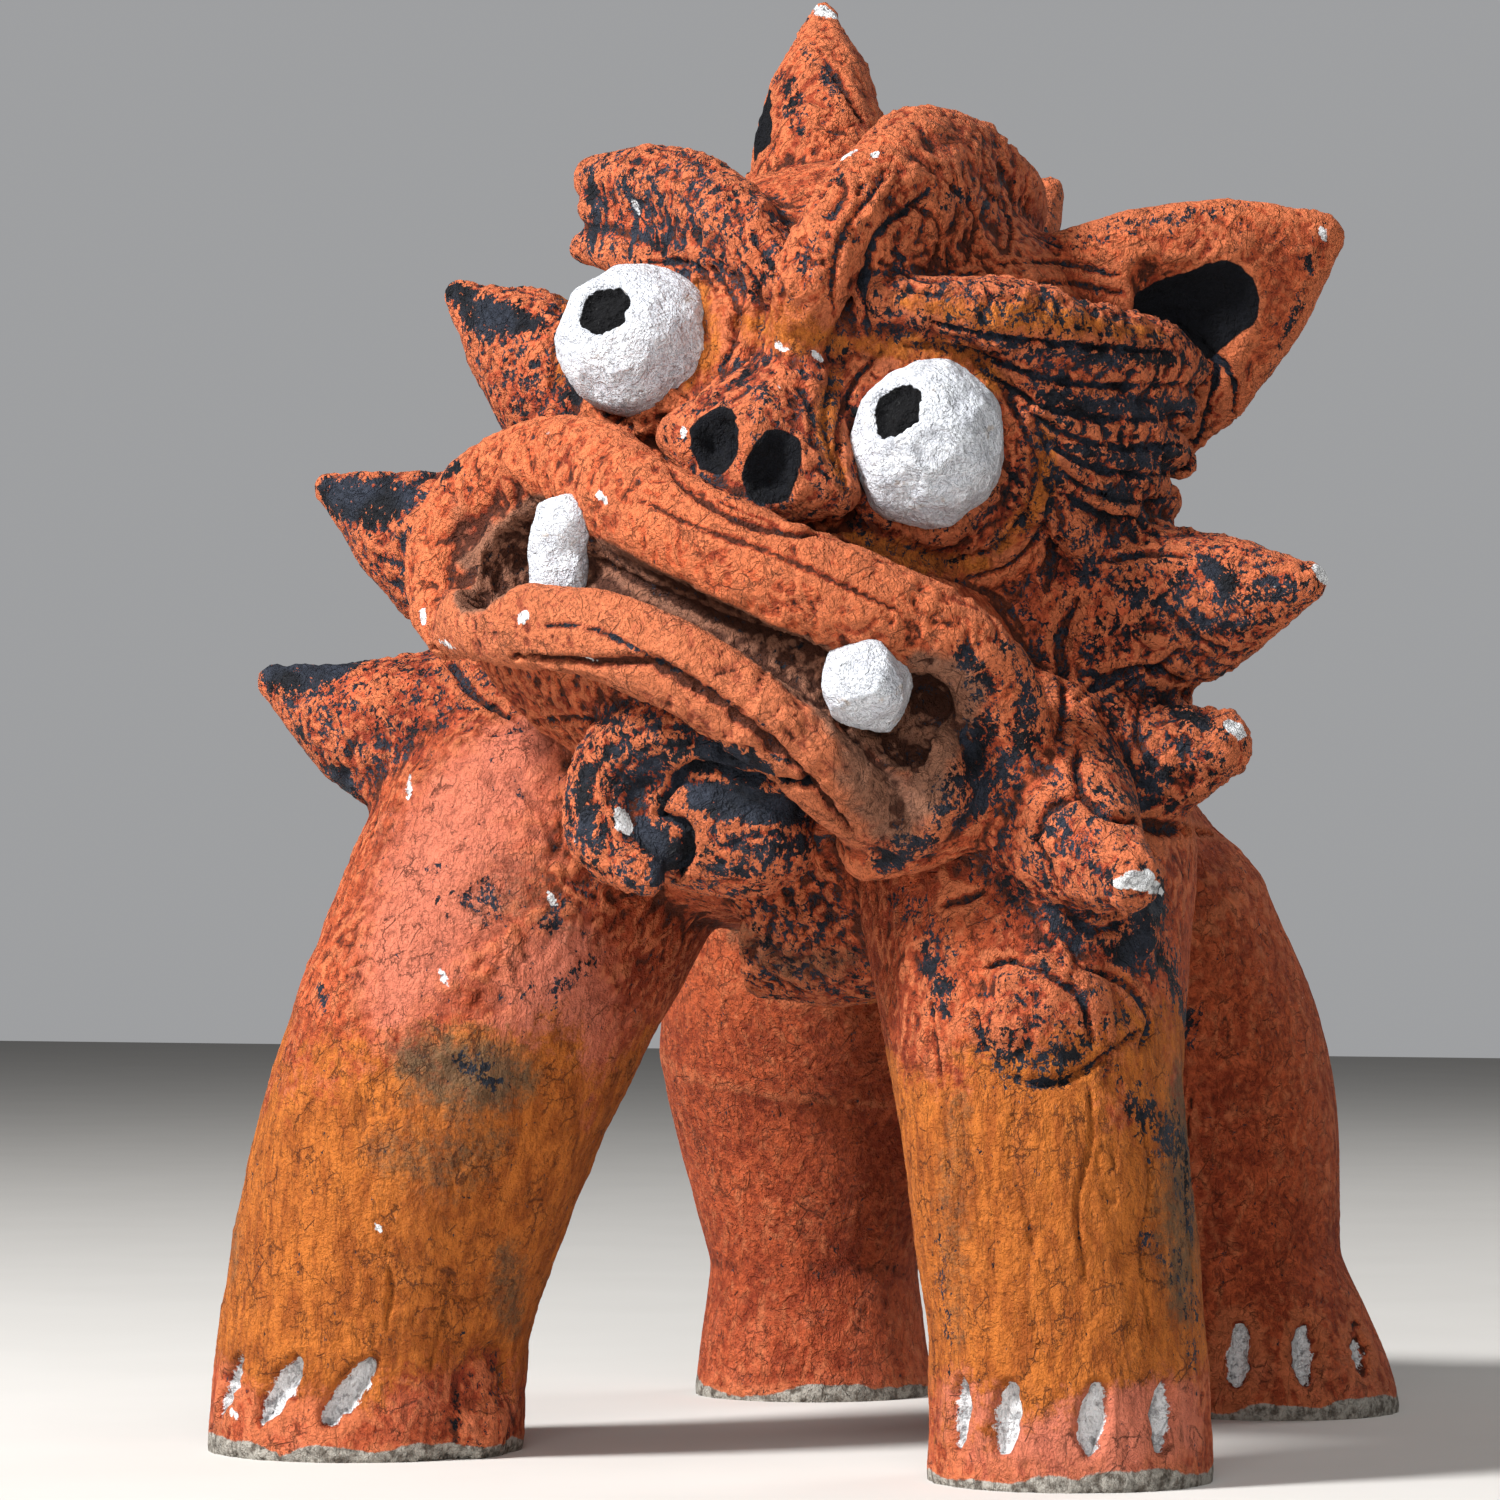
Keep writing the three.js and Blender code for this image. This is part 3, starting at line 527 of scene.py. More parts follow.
class Clay:
    """All the clay of the figure: lumps that are luted together, cut, marked and parted again."""

    VOXEL = 0.9
    SKIN = 1.2  # thickness of the skin that each piece gets
    SOLE = 0.3  # how far off the ground the skin's inside stays
    FLAT = 0.7  # what is lower than this is pressed flat on the ground
    TAPER = 0.5  # how much narrower the ends of a stroke are
    WET = (1.7, 0.0)  # reach and even core of paint alone, in widths of a stroke
    PRESSED = (1.3, 0.35)  # the same of a pressed stroke
    RAGGED = 0.3  # how far a stroke's edge wanders, as a share of its reach
    PIXELS = 4  # of the photograph, from one point of a stroke to the next
    STRIDE = 0.8  # mm from one point of a stroke in the figure to the next

    def __init__(self) -> None:
        """Starts with no clay."""
        self.nodes: list[str] = []
        self.lumps: list[BMesh] = []
        self.fills: list[BMesh] = []
        self.cuts: list[BMesh] = []
        self.seeds: list[tuple[np.ndarray, int]] = []
        self.coats: list[tuple[BVHTree, Paint]] = []
        self.soft: dict[str, float] = {}
        self.rough: dict[str, float] = {}
        self.colours: dict[str, dict[Paint, float]] = {}
        self.slots: dict[str, Slot] = {}
        self.noise = Noise(11)

    def _seed(self, node: str, bm: BMesh) -> None:
        """Remembers which node a form's surface belongs to.

        Args:
            node: The node.
            bm: The form's mesh.
        """
        if node not in self.nodes:
            self.nodes.append(node)
        points = np.array([v.co[:] for v in bm.verts])
        self.seeds.append((points, self.nodes.index(node)))

    def lay(
        self, node: str, forms: Iterable[Form], frame_: Matrix, flat_sole: bool = False, fill: bool = False
    ) -> None:
        """Lays clay down.

        Args:
            node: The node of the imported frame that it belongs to.
            forms: Its lumps.
            frame_: Where their frame is.
            flat_sole: Whether it is cut off flat at the ground.
            fill: Whether it is laid after the hollows are cut.
        """
        for form in forms:
            bm = form.build()
            bm.transform(frame_)
            if flat_sole:
                slice_off(bm, (0, 0, 0), Z_AXIS)
            self._seed(node, bm)
            (self.fills if fill else self.lumps).append(bm)

    def cut(
        self, node: str, forms: Iterable[Form], frame_: Matrix, grow: float = 0.0, paint: Paint | None = None
    ) -> None:
        """Cuts a hollow into the clay of a node, which owns the walls.

        Args:
            node: The node.
            forms: What is cut out.
            frame_: Where their frame is.
            grow: How much larger the hollow is than its sizes.
            paint: What its walls carry.
        """
        for form in forms:
            bm = form.build(grow)
            bm.transform(frame_)
            self._seed(node, bm)
            self.cuts.append(bm)
            if paint:
                self.coats.append((BVHTree.FromBMesh(bm), paint))

    def style(self, node: str, slot: Slot, soft: float, rough: float, **paint: float) -> None:
        """Says how a node's clay is finished.

        Args:
            node: The node.
            slot: The material slot of the record.
            soft: How far its seams are smeared over, from 0 to 1.
            rough: How strongly its surface is torn and marked.
            paint: Amounts of paint over all of it, by name.
        """
        self.soft[node], self.rough[node], self.slots[node] = soft, rough, slot
        self.colours[node] = {Paint[name.upper()]: amount for name, amount in paint.items()}

    @staticmethod
    def _mesh(forms: Iterable[BMesh], name: str) -> Object:
        """Makes one object of many meshes.

        Args:
            forms: The meshes, which are used up.
            name: The object's name.

        Returns:
            The object.
        """
        whole = bpy.data.meshes.new(name)
        merged = bmesh.new()
        for bm in forms:
            part = bpy.data.meshes.new("part")
            bm.to_mesh(part)
            merged.from_mesh(part)
            bpy.data.meshes.remove(part)
        merged.to_mesh(whole)
        merged.free()
        return show(name, whole)

    @classmethod
    def _remesh(cls, made: Object) -> None:
        """Rebuilds an object's mesh of even squares as one closed skin.

        Args:
            made: The object.
        """
        remesh = made.modifiers.new("remesh", "REMESH")
        remesh.mode, remesh.voxel_size = "VOXEL", cls.VOXEL
        cls.apply(made)

    @staticmethod
    def apply(made: Object) -> None:
        """Applies all modifiers of an object.

        Args:
            made: The object.
        """
        shown = made.evaluated_get(bpy.context.evaluated_depsgraph_get())
        mesh = bpy.data.meshes.new_from_object(shown)
        made.modifiers.clear()
        made.data = mesh

    @staticmethod
    def _read(rows: bpy.types.bpy_prop_collection, name: str, wide: int, kind: type) -> np.ndarray:
        """Reads a property of each row, `wide` numbers long, into an array.

        Args:
            rows: The rows.
            name: The property.
            wide: How many numbers it has.
            kind: Their type.

        Returns:
            A row for each.
        """
        values = np.empty(len(rows) * wide, kind)
        rows.foreach_get(name, values)
        return values.reshape(-1, wide)

    def fuse(self) -> None:
        """Joins the lumps into one mass, cuts the hollows and smears the seams."""
        mass, hollows = self._mesh(self.lumps, "mass"), self._mesh(self.cuts, "hollows")
        self._remesh(mass)
        self._remesh(hollows)
        carve = mass.modifiers.new("carve", "BOOLEAN")
        carve.operation, carve.solver, carve.object = "DIFFERENCE", "MANIFOLD", hollows
        self.apply(mass)
        carved = bmesh.new()
        carved.from_mesh(mass.data)
        bpy.data.objects.remove(mass)
        mass = self._mesh([carved, *self.fills], "mass")
        self._remesh(mass)
        mesh = mass.data
        count = len(mesh.vertices)
        if len(mesh.loops) != 4 * len(mesh.polygons):
            raise ValueError("the remeshed clay has faces that aren't squares")
        self.places = self._read(mesh.vertices, "co", 3, np.float32).astype(float)
        self.edges = self._read(mesh.edges, "vertices", 2, np.int32)
        self.faces = self._read(mesh.loops, "vertex_index", 1, np.int32).reshape(-1, 4)
        for made in (mass, hollows):
            bpy.data.objects.remove(made)
        self.degree = np.bincount(self.edges.ravel(), minlength=count).astype(float)
        self.paint = {paint: np.zeros(count) for paint in Paint}
        self._label()
        log.info("fused clay: %d vertices, %d faces", count, len(self.faces))

    def _label(self) -> None:
        """Finds the node that each vertex and face belongs to."""
        total = sum(len(points) for points, _ in self.seeds)
        tree = KDTree(total)
        owner = []
        for points, node in self.seeds:
            for point in points:
                tree.insert(point, len(owner))
                owner.append(node)
        tree.balance()
        self.label = np.array([owner[tree.find(p)[1]] for p in self.places])
        for coat, paint in self.coats:
            held = self.paint[paint]
            for i, place in enumerate(self.places.tolist()):
                if coat.find_nearest(place, self.VOXEL)[0] is not None:
                    held[i] = 1.0
        for paint in (Paint.PIT, Paint.DUST):
            self.paint[paint] = self.spread(self.paint[paint], 3, 0.6)
        self.inside = self.paint[Paint.RAW] > 0.5  # walls that nobody sees
        self.paint[Paint.RAW][:] = 0.0
        for _ in range(3):  # a vertex goes with most of its neighbours
            votes = np.zeros((len(self.places), len(self.nodes)), np.float32)
            votes[np.arange(len(self.places)), self.label] += 1
            for a, b in (self.edges.T, self.edges.T[::-1]):
                np.add.at(votes, (a, self.label[b]), 1)
            self.label = votes.argmax(axis=1)

    def spread(self, values: np.ndarray, rounds: int, share: float | np.ndarray = 1.0) -> np.ndarray:
        """Evens out values over the surface.

        Args:
            values: One value or row for each vertex.
            rounds: How many times each vertex of squares 1 mm wide takes its neighbours' mean.
            share: How much of that mean it takes.

        Returns:
            The new values.
        """
        a, b = self.edges.T
        count = len(self.places)
        columns = values.reshape(count, -1).copy()
        share = np.broadcast_to(np.asarray(share, float), (count,))
        for _ in range(round(rounds / self.VOXEL**2)):
            for i in range(columns.shape[1]):
                total = np.bincount(a, columns[b, i], count) + np.bincount(b, columns[a, i], count)
                columns[:, i] += share * (total / self.degree - columns[:, i])
        return columns.reshape(values.shape)

    def normals(self) -> np.ndarray:
        """The outward direction at each vertex.

        Returns:
            A unit vector for each vertex.
        """
        corners = self.places[self.faces]
        across = np.cross(corners[:, 2] - corners[:, 0], corners[:, 3] - corners[:, 1])
        total = np.zeros_like(self.places)
        for i in range(3):
            for k in range(4):
                total[:, i] += np.bincount(self.faces[:, k], across[:, i], len(self.places))
        return total / np.maximum(np.linalg.norm(total, axis=1, keepdims=True), 1e-9)

    def smear(self) -> None:
        """Smears the seams between pieces over, and takes the steps of the remesh off."""
        self.places = self.spread(self.places, 4, 0.5)
        a, b = self.edges.T
        seam = np.zeros(len(self.places))
        other = self.label[a] != self.label[b]
        softness = np.array([self.soft[node] for node in self.nodes])
        pair = np.minimum(softness[self.label[a]], softness[self.label[b]]) * other
        np.maximum.at(seam, a, pair)
        np.maximum.at(seam, b, pair)
        band = np.clip(self.spread(seam, 30) * 5, 0, 1)
        self.places = self.spread(self.places, 30, 0.5 * band)

    def _stroke_line(self, stroke: Stroke, view: View, tree: BVHTree) -> np.ndarray:
        """The points of a stroke on the clay.

        Args:
            stroke: The stroke.
            view: The view that its pixels are laid from.
            tree: The surface of the clay.

        Returns:
            A row for each point that lies on the clay.
        """
        seen = len(stroke.points[0]) == 2
        path = Path((*p, 0.0) if seen else p for p in stroke.points)
        count = max(int(path.length / (self.PIXELS if seen else self.STRIDE)), 1)
        along = [path.at(i / count) for i in range(count + 1)]
        if seen:
            hits = (tree.ray_cast(Vector(view.place), view.ray(p.x, p.y))[0] for p in along)
            along = [hit for hit in hits if hit is not None]
        return np.array(along).reshape(-1, 3)

    def mark(self, strokes: Iterable[Stroke], view: View) -> None:
        """Presses strokes into the clay and paints them.

        Args:
            strokes: The strokes.
            view: The view that strokes of pixels are laid from.
        """
        tree = BVHTree.FromPolygons(self.places.tolist(), self.faces.tolist())
        normals = self.normals()
        push = np.zeros(len(self.places))
        for stroke in strokes:
            line = self._stroke_line(stroke, view, tree)
            if not len(line):
                continue
            reach, core = self.WET if stroke.depth == 0.0 else self.PRESSED
            reach *= stroke.width
            low, high = line.min(axis=0) - reach, line.max(axis=0) + reach
            near = np.flatnonzero(((self.places > low) & (self.places < high)).all(axis=1))
            if not len(near):
                continue
            gap = np.full(len(near), 1e9)
            ends = np.sin(np.linspace(0, math.pi, len(line))) if len(line) > 2 else np.ones(len(line))
            for point, full in zip(line, 1 - self.TAPER * (1 - ends)):
                np.minimum(gap, ((self.places[near] - point) ** 2).sum(axis=1) / full**2, out=gap)
            ragged = 1 + self.RAGGED * self.noise.at(self.places[near], 2.4)
            cover = ramp(reach, stroke.width * core, np.sqrt(gap) * ragged)
            push[near] -= stroke.depth * cover
            if stroke.paint:
                held = self.paint[stroke.paint]
                held[near] = np.maximum(held[near], stroke.amount * cover)
        self.places += normals * push[:, None]

    def weather(self) -> None:
        """Gives the surface its lumps, tears, cracks and grain."""
        rough = self.spread(np.array([self.rough[n] for n in self.nodes])[self.label], 14)
        p, noise = self.places, self.noise
        lumps = noise.layers(p, 19, 2) * 0.7
        drift = p + 3.5 * noise.at(p, 9)[:, None]
        flakes = ledges(noise.layers(drift, (4.6, 4.6, 8), 3), 0.3) * 0.8
        chips = ledges(noise.layers(drift + 70, (2.6, 2.6, 3.4), 2), 0.36) * 0.45
        grain = noise.layers(p, 1.7, 2) * 0.16
        on_leg = ramp(112, 84, p[:, 2])
        streaks = ledges(noise.layers(drift, (3.4, 3.4, 14), 3), 0.3) * 0.4 * on_leg
        lines = noise.cracks(drift, (9, 9, 12), 0.035) * ramp(-0.1, 0.35, noise.at(p, 24))
        upright = noise.cracks(p + 300, (9, 9, 38), 0.025) * ramp(0.2, 0.4, noise.at(p + 50, 20)) * on_leg
        torn = (flakes + chips) * (1 - 0.65 * on_leg)
        push = rough * (lumps + torn * ramp(-0.6, 0.3, noise.at(p, 27)) + grain + streaks)
        push -= rough * (0.6 * lines * (1 - on_leg) + 0.9 * upright)
        self.places = p + self.normals() * push[:, None]

    def settle(self) -> None:
        """Sets the figure down: the soles are flat on the ground."""
        height = self.places[:, 2]
        height[height < self.FLAT] = 0.0

    def stain(self) -> None:
        """Works out where each paint lies from the shape of the clay and the finish of each node."""
        for paint in (Paint.SLATE, Paint.DUST, Paint.SALMON):
            base = np.array([self.colours[n].get(paint, 0.0) for n in self.nodes])[self.label]
            self.paint[paint] = np.maximum(self.paint[paint], self.spread(base, 25))
        # How hollow the clay is at each vertex. The clay shader darkens hollows and creases with it as painted
        # shade, lightens ridges as painted highlight, and lets the slate glaze gather in the hollows.
        normals, total = self.normals(), np.zeros(len(self.places))
        for rounds, weight in ((3, 1.6), (14, 0.8)):
            away = self.places - self.spread(self.places, rounds, 0.9)
            total -= weight * (away * normals).sum(axis=1)
        self.paint[Paint.CAVITY] = np.clip(0.5 + total, 0, 1)
        height = self.places[:, 2]
        wander = 16 * self.noise.layers(self.places, 26, 3)
        front = ramp(20, -30, self.places[:, 1])
        ochre = ramp(104, 66, height + wander) * ramp(0, 34, height + 0.7 * wander) * front
        self.paint[Paint.OCHRE] = np.maximum(self.paint[Paint.OCHRE], ochre)
        low = 0.2 * ramp(30, 6, height + 0.6 * wander)
        self.paint[Paint.SALMON] = np.maximum(self.paint[Paint.SALMON], low)
        self.paint[Paint.RAW] = ramp(4.5, 1.5, height + 0.2 * wander)

    def part(self, dress: "Dresser") -> None:
        """Parts the mass into the pieces of the frame and gives each a closed skin.

        Args:
            dress: Gives each piece its material.
        """
        normals = self.normals()
        labels = self.label[self.faces]
        owner = np.sort(labels, axis=1)[:, 1]
        for index, node in enumerate(self.nodes):
            used, faces = np.unique(self.faces[owner == index], return_inverse=True)
            faces = faces.reshape(-1, 4)
            count = len(used)
            sides = np.stack([faces, np.roll(faces, -1, axis=1)], axis=-1).reshape(-1, 2)
            key = np.sort(sides, axis=1) @ np.array([count, 1])
            _, first, times = np.unique(key, return_index=True, return_counts=True)
            rim = sides[first[times == 1]]
            inner = faces[:, ::-1] + count
            walls = np.stack([rim[:, 1], rim[:, 0], rim[:, 0] + count, rim[:, 1] + count], axis=1)
            outside = self.places[used]
            inside = outside - normals[used] * self.SKIN
            inside[:, 2] = np.maximum(inside[:, 2], self.SOLE)
            piece = Piece(node, np.concatenate([outside, inside]), np.concatenate([faces, inner, walls]))
            made = piece.build()
            for paint, held in self.paint.items():
                carry(made.data, paint, np.tile(held[used], 2))
            hidden = np.concatenate([self.inside[used], np.ones(count, bool)])
            hidden[np.concatenate([rim.ravel(), rim.ravel() + count])] = False
            piece.thin(hidden, np.concatenate([normals[used], -normals[used]]))
            dress.fit(made, node, self.slots[node])
            made.data.calc_loop_triangles()
            log.info("%s: %d triangles", node, len(made.data.loop_triangles))


@dataclass
class Piece:
    """A piece of the figure as it is shown.

    Attributes:
        name: Its name.
        places: Its vertices, in mm.
        faces: Its squares.
    """

    name: str
    places: np.ndarray
    faces: np.ndarray
    made: Object | None = None

    MANY = 2000  # hidden faces that are worth taking out
    TAKEN = 0.88  # share of them that is

    def build(self) -> Object:
        """Makes the object and returns it.

        Returns:
            The object.
        """
        mesh = bpy.data.meshes.new(self.name)
        places = ((self.places + np.array(ORIGIN)) * MM).astype(np.float32)
        mesh.vertices.add(len(places))
        mesh.vertices.foreach_set("co", places.ravel())
        mesh.loops.add(self.faces.size)
        mesh.loops.foreach_set("vertex_index", self.faces.astype(np.int32).ravel())
        mesh.polygons.add(len(self.faces))
        mesh.polygons.foreach_set("loop_start", np.arange(0, self.faces.size, 4, dtype=np.int32))
        mesh.polygons.foreach_set("use_smooth", np.ones(len(self.faces), bool))
        mesh.update(calc_edges=True)
        self.made = show(self.name + "_clay", mesh)
        return self.made

    def thin(self, hidden: np.ndarray, normals: np.ndarray) -> None:
        """Takes most faces out where nobody sees them, and sets the normals of the rest.

        Args:
            hidden: Whether each vertex is out of sight.
            normals: The outward direction at each vertex.
        """
        held = self.made.data.attributes.new("held_normal", "FLOAT_VECTOR", "POINT")
        held.data.foreach_set("vector", normals.astype(np.float32).ravel())
        unseen = hidden[self.faces].all(axis=1).mean()
        if unseen * len(self.faces) > self.MANY:
            group = self.made.vertex_groups.new(name="hidden")
            group.add(np.flatnonzero(hidden).tolist(), 1.0, "REPLACE")
            thin = self.made.modifiers.new("thin", "DECIMATE")
            thin.ratio, thin.vertex_group = 1 - unseen * self.TAKEN, group.name
            Clay.apply(self.made)
            self.made.vertex_groups.clear()
        mesh = self.made.data
        held = mesh.attributes["held_normal"]
        kept = np.empty(len(mesh.vertices) * 3, np.float32)
        held.data.foreach_get("vector", kept)
        mesh.attributes.remove(held)
        mesh.normals_split_custom_set_from_vertices(kept.reshape(-1, 3).tolist())


# The pieces


@dataclass(frozen=True)
class Torso:
    """The hollow barrel of the body.

    Attributes:
        chest: Its front end.
        rump: Its rear end.
        half_widths: Half its width at both ends.
        flatness: Its height over its width.
        wall: Thickness of its wall.
        hole: Half the width, length and height of the opening in the belly.
        drop: How far below the middle of the barrel it is.
    """

    chest: Point = (0, -67, 144)
    rump: Point = (0, 77, 124)
    half_widths: tuple[float, float] = (56, 50)
    flatness: float = 0.58
    wall: float = 12
    hole: Point = (22, 44, 40)
    drop: float = 24

    def lay(self, clay: Clay) -> None:
        """Lays the barrel and hollows it.

        Args:
            clay: The mass of clay.
        """
        middle, girth = (Vector(self.chest) + Vector(self.rump)) / 2, tuple(enumerate(self.half_widths))
        barrel = Coil((self.chest, middle, self.rump), girth, self.flatness, sides=48)
        clay.lay("body_barrel", [barrel], Matrix())
        clay.cut("body_barrel", [barrel], Matrix(), -self.wall, Paint.RAW)
        clay.cut("body_barrel", [Ball((0, 0, 0), self.hole)], Matrix.Translation(middle - self.drop * Z_AXIS))
        clay.style("body_barrel", Slot.RED, 1.0, 0.8, slate=0.06, salmon=0.2)


@dataclass(frozen=True)
class Leg:
    """A thick roll of clay with a flat sole and claw marks.

    Attributes:
        node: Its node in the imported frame.
        y: Where its foot stands, from front to back.
        top: The middle of the barrel above it.
        sizes: X and radius at the sole, the ankle, the knee and the shoulder.
        claws: Azimuths of the claw marks.
        slant: How far a mark's ends lean off its azimuth.
        rough: How strongly its surface is torn.
    """

    node: str
    y: float
    top: Point
    sizes: tuple[tuple[float, float], ...]
    claws: tuple[float, ...]
    slant: float
    rough: float = 0.55

    HEIGHTS = (0.0, 30.0, 76.0)  # of the sole, the ankle and the knee
    DROP = 20.0  # from the middle of the barrel to the shoulder
    DOME = 11.0  # how high its top bulges into the barrel
    CLAW = (8.5, 20.0, 3.4, 3.4)  # low end, high end, half width and depth

    def line(self) -> list[Point]:
        """The middle of the leg at the sole, the ankle, the knee and the shoulder."""
        heights = (*self.HEIGHTS, self.top[2] - self.DROP)
        return [(x, y, z) for (x, _), y, z in zip(self.sizes, (self.y,) * 3 + (self.top[1],), heights)]

    def side(self, azimuth: float, height: float, out: float = 0.0) -> Vector:
        """A point on the leg's side. Azimuth 0 faces -Y and grows towards +X.

        Args:
            azimuth: Degrees from -Y towards +X.
            height: Height over the ground.
            out: How far off the side it is.

        Returns:
            The point.
        """
        columns = list(zip(*self.line()))
        x, y = (float(np.interp(height, columns[2], column)) for column in columns[:2])
        reach = float(np.interp(height, columns[2], [r for _, r in self.sizes])) + out
        a = math.radians(azimuth)
        return Vector((x + reach * math.sin(a), y - reach * math.cos(a), height))

    def lay(self, clay: Clay) -> None:
        """Lays the leg.

        Args:
            clay: The mass of clay.
        """
        line = self.line()
        x, radius = self.sizes[0]
        girth = tuple((z, r) for (_, _, z), (_, r) in zip(line, self.sizes))
        roll = Coil([(x, self.y, -radius), *line], girth, face=Y_AXIS, by_height=True, sides=48)
        wide = 0.98 * self.sizes[-1][1]
        clay.lay(self.node, [roll, Ball(line[-1], (wide, wide, self.DOME))], Matrix(), True)
        clay.style(self.node, Slot.OCHRE, 1.0, self.rough, slate=0.05)

    def marks(self) -> list[Stroke]:
        """The claw marks, pressed in and painted white.

        Returns:
            The strokes.
        """
        low, high, half, depth = self.CLAW
        ends = [[self.side(a - self.slant, low), self.side(a + self.slant, high)] for a in self.claws]
        return [Stroke(line, half, depth, Paint.WHITE) for line in ends]


@dataclass(frozen=True)
class Marked:
    """Something with marks that are read from a table."""

    MARKS = ()

    def marks(self) -> list[Stroke]:
        """The marks of the table."""
        return Stroke.read(self.MARKS)


@dataclass(frozen=True)
class Legs(Marked):
    """Four legs, the clay packed into the broken right forefoot and two scales on the left foreleg."""

    torso: Torso = Torso()
    span: float = 170.0
    notch: tuple[float, float] = (76.0, 14.0)  # azimuth and radius
    clods: tuple[tuple[float, float, float, float], ...] = (  # azimuth, height, depth and radius
        (76, 5.5, 9, 11), (60, 9, 8, 7), (92, 8, 8, 8), (74, 16, 9, 8), (84, 1, 6, 7),
    )
    scale: tuple[float, float] = (20.0, 11.0)  # radius and thickness

    MARKS = (
        # flakes
        ((1.1, 1.5, "slate", 0.42), (985, 968, 1010, 960, 1050, 975, 1082, 1000, 1092, 1040),
         (975, 1010, 985, 1050, 1010, 1078, 1060, 1082, 1100, 1060, 1140, 1030),
         (1085, 968, 1128, 985, 1150, 1020, 1140, 1050)),
        # cracks
        ((0.65, 0.9), (958, 1080, 962, 1150, 955, 1220, 960, 1300),
         (1016, 1095, 1010, 1160, 1030, 1230, 1026, 1300, 1040, 1350),
         (1090, 1080, 1092, 1140, 1078, 1200, 1085, 1280),
         (1140, 1100, 1150, 1180, 1142, 1250, 1150, 1330), (1190, 1100, 1186, 1200, 1196, 1300),
         (930, 1000, 940, 1080, 948, 1180), (450, 1280, 440, 1330, 430, 1370),
         (385, 1250, 392, 1290, 385, 1330), (430, 1290, 470, 1300, 498, 1290)),
        # folds of the shoulder
        ((5, 0.8), (490, 780, 540, 800, 560, 850), (470, 900, 520, 880, 560, 900),
         (430, 960, 460, 930, 500, 925), (420, 1050, 450, 1010, 500, 1000),
         (360, 1120, 400, 1080, 460, 1070)),
        # salmon
        ((19, 0, "salmon", 0.9), (520, 740, 450, 850, 400, 990), (560, 960, 540, 1100, 480, 1180),
         (960, 1400, 1180, 1420)),
        # slate on the left foreleg
        ((5, 0, "slate", 0.6), (925, 945, 938, 985, 946, 1010)),
        ((6.5, 0, "slate", 0.5), (985, 1040, 1010, 1062, 1062, 1062, 1085, 1045)),
        ((11, 0, "slate", 0.42), (1100, 935, 1150, 950, 1185, 1000)),
        ((9, 0, "slate", 0.3), (1040, 960, 1100, 1000, 1130, 1040)),
        ((12, 0, "slate", 0.3), (985, 880, 1060, 900, 1110, 870)),
        ((6, 0, "slate", 0.36), (890, 895, 930, 930, 945, 1000)),
        ((4, 0, "slate", 0.55), (1050, 905, 1065, 930, 1090, 940)),
        ((6, 0, "slate", 0.78), (1125, 960, 1150, 920, 1160, 890)),
        ((5, 0, "slate", 0.5), (1160, 960, 1180, 1000, 1190, 1040)),
        ((8, 0, "slate", 0.5), (1130, 1100, 1180, 1150, 1190, 1230)),
        ((6, 0, "slate", 0.36), (1150, 1240, 1190, 1290, 1195, 1370)),
        ((3, 0, "slate", 0.36), (940, 1200, 946, 1300, 950, 1380)),
        # slate on the right foreleg
        ((4.5, 0, "slate", 0.36), (430, 905, 475, 890, 500, 915)),
        ((4, 0, "slate", 0.5), (460, 1055, 485, 1075, 505, 1085)),
        ((4, 0, "slate", 0.42), (520, 1000, 560, 985, 590, 960)),
        ((4, 0, "slate", 0.38), (540, 930, 575, 900, 600, 880)),
        ((3, 0, "slate", 0.4), (318, 985, 325, 1010)),
        # dark smudges; the one under the belly is painted shadow, the one down the right edge of the left
        # foreleg painted shade
        ((11, 0, "smudge_and_shade", 0.8), (410, 1060, 470, 1075, 520, 1080)),
        ((10, 0, "smudge_and_shade", 0.5), (380, 1150, 450, 1160, 500, 1140)),
        ((9, 0, "smudge_and_shade", 0.45), (480, 910, 530, 890, 560, 930)),
        # painted shade down the right edge of the left foreleg
        ((12, 0, "smudge_and_shade", 0.75), (1180, 1080, 1185, 1180, 1180, 1300)),
        ((7, 0, "smudge_and_shade", 0.4), (960, 1100, 950, 1200, 960, 1350)),
        ((7, 0, "smudge_and_shade", 0.6), (505, 1250, 515, 1330)),
        ((5, 0, "smudge_and_shade", 0.5), (240, 1180, 232, 1280)),
        # painted shadow under the belly, between the forelegs
        ((8, 0, "smudge_and_shade", 0.6), (735, 930, 790, 965, 850, 960)),
        # chips
        ((1.2, 0, "white", 0.85), (410, 775, 408, 800), (440, 970, 446, 985), (548, 892, 556, 905),
         (375, 1225, 382, 1232), (1000, 1420, 1004, 1430), (232, 1412, 236, 1416), (352, 838, 356, 842)),
    )

    def all(self) -> tuple[Leg, ...]:
        """The four legs.

        Returns:
            The legs, from the left foreleg to the right hind leg.
        """
        front, back = -self.span / 2, self.span / 2
        chest, rump = self.torso.chest, self.torso.rump
        left = ((80, 28.5), (79, 27.5), (73.5, 28.5), (63, 35))
        right = ((-79, 33), (-76, 32.5), (-61, 35), (-46, 38))
        left_rear = ((60, 29), (52, 24), (46, 27), (32, 32))
        right_rear = ((-53, 28), (-53, 24), (-51, 38), (-42, 40))
        return (
            Leg("foreleg_left", front, chest, left, (-29, -4, 32, 64), 2),
            Leg("foreleg_right", front, chest, right, (-68, -37, -8, 20), 7),
            Leg("hindleg_left", back, rump, left_rear, (-20, 12, 44, 76), 4, 0.32),
            Leg("hindleg_right", back, rump, right_rear, (), 0, 0.28),
        )

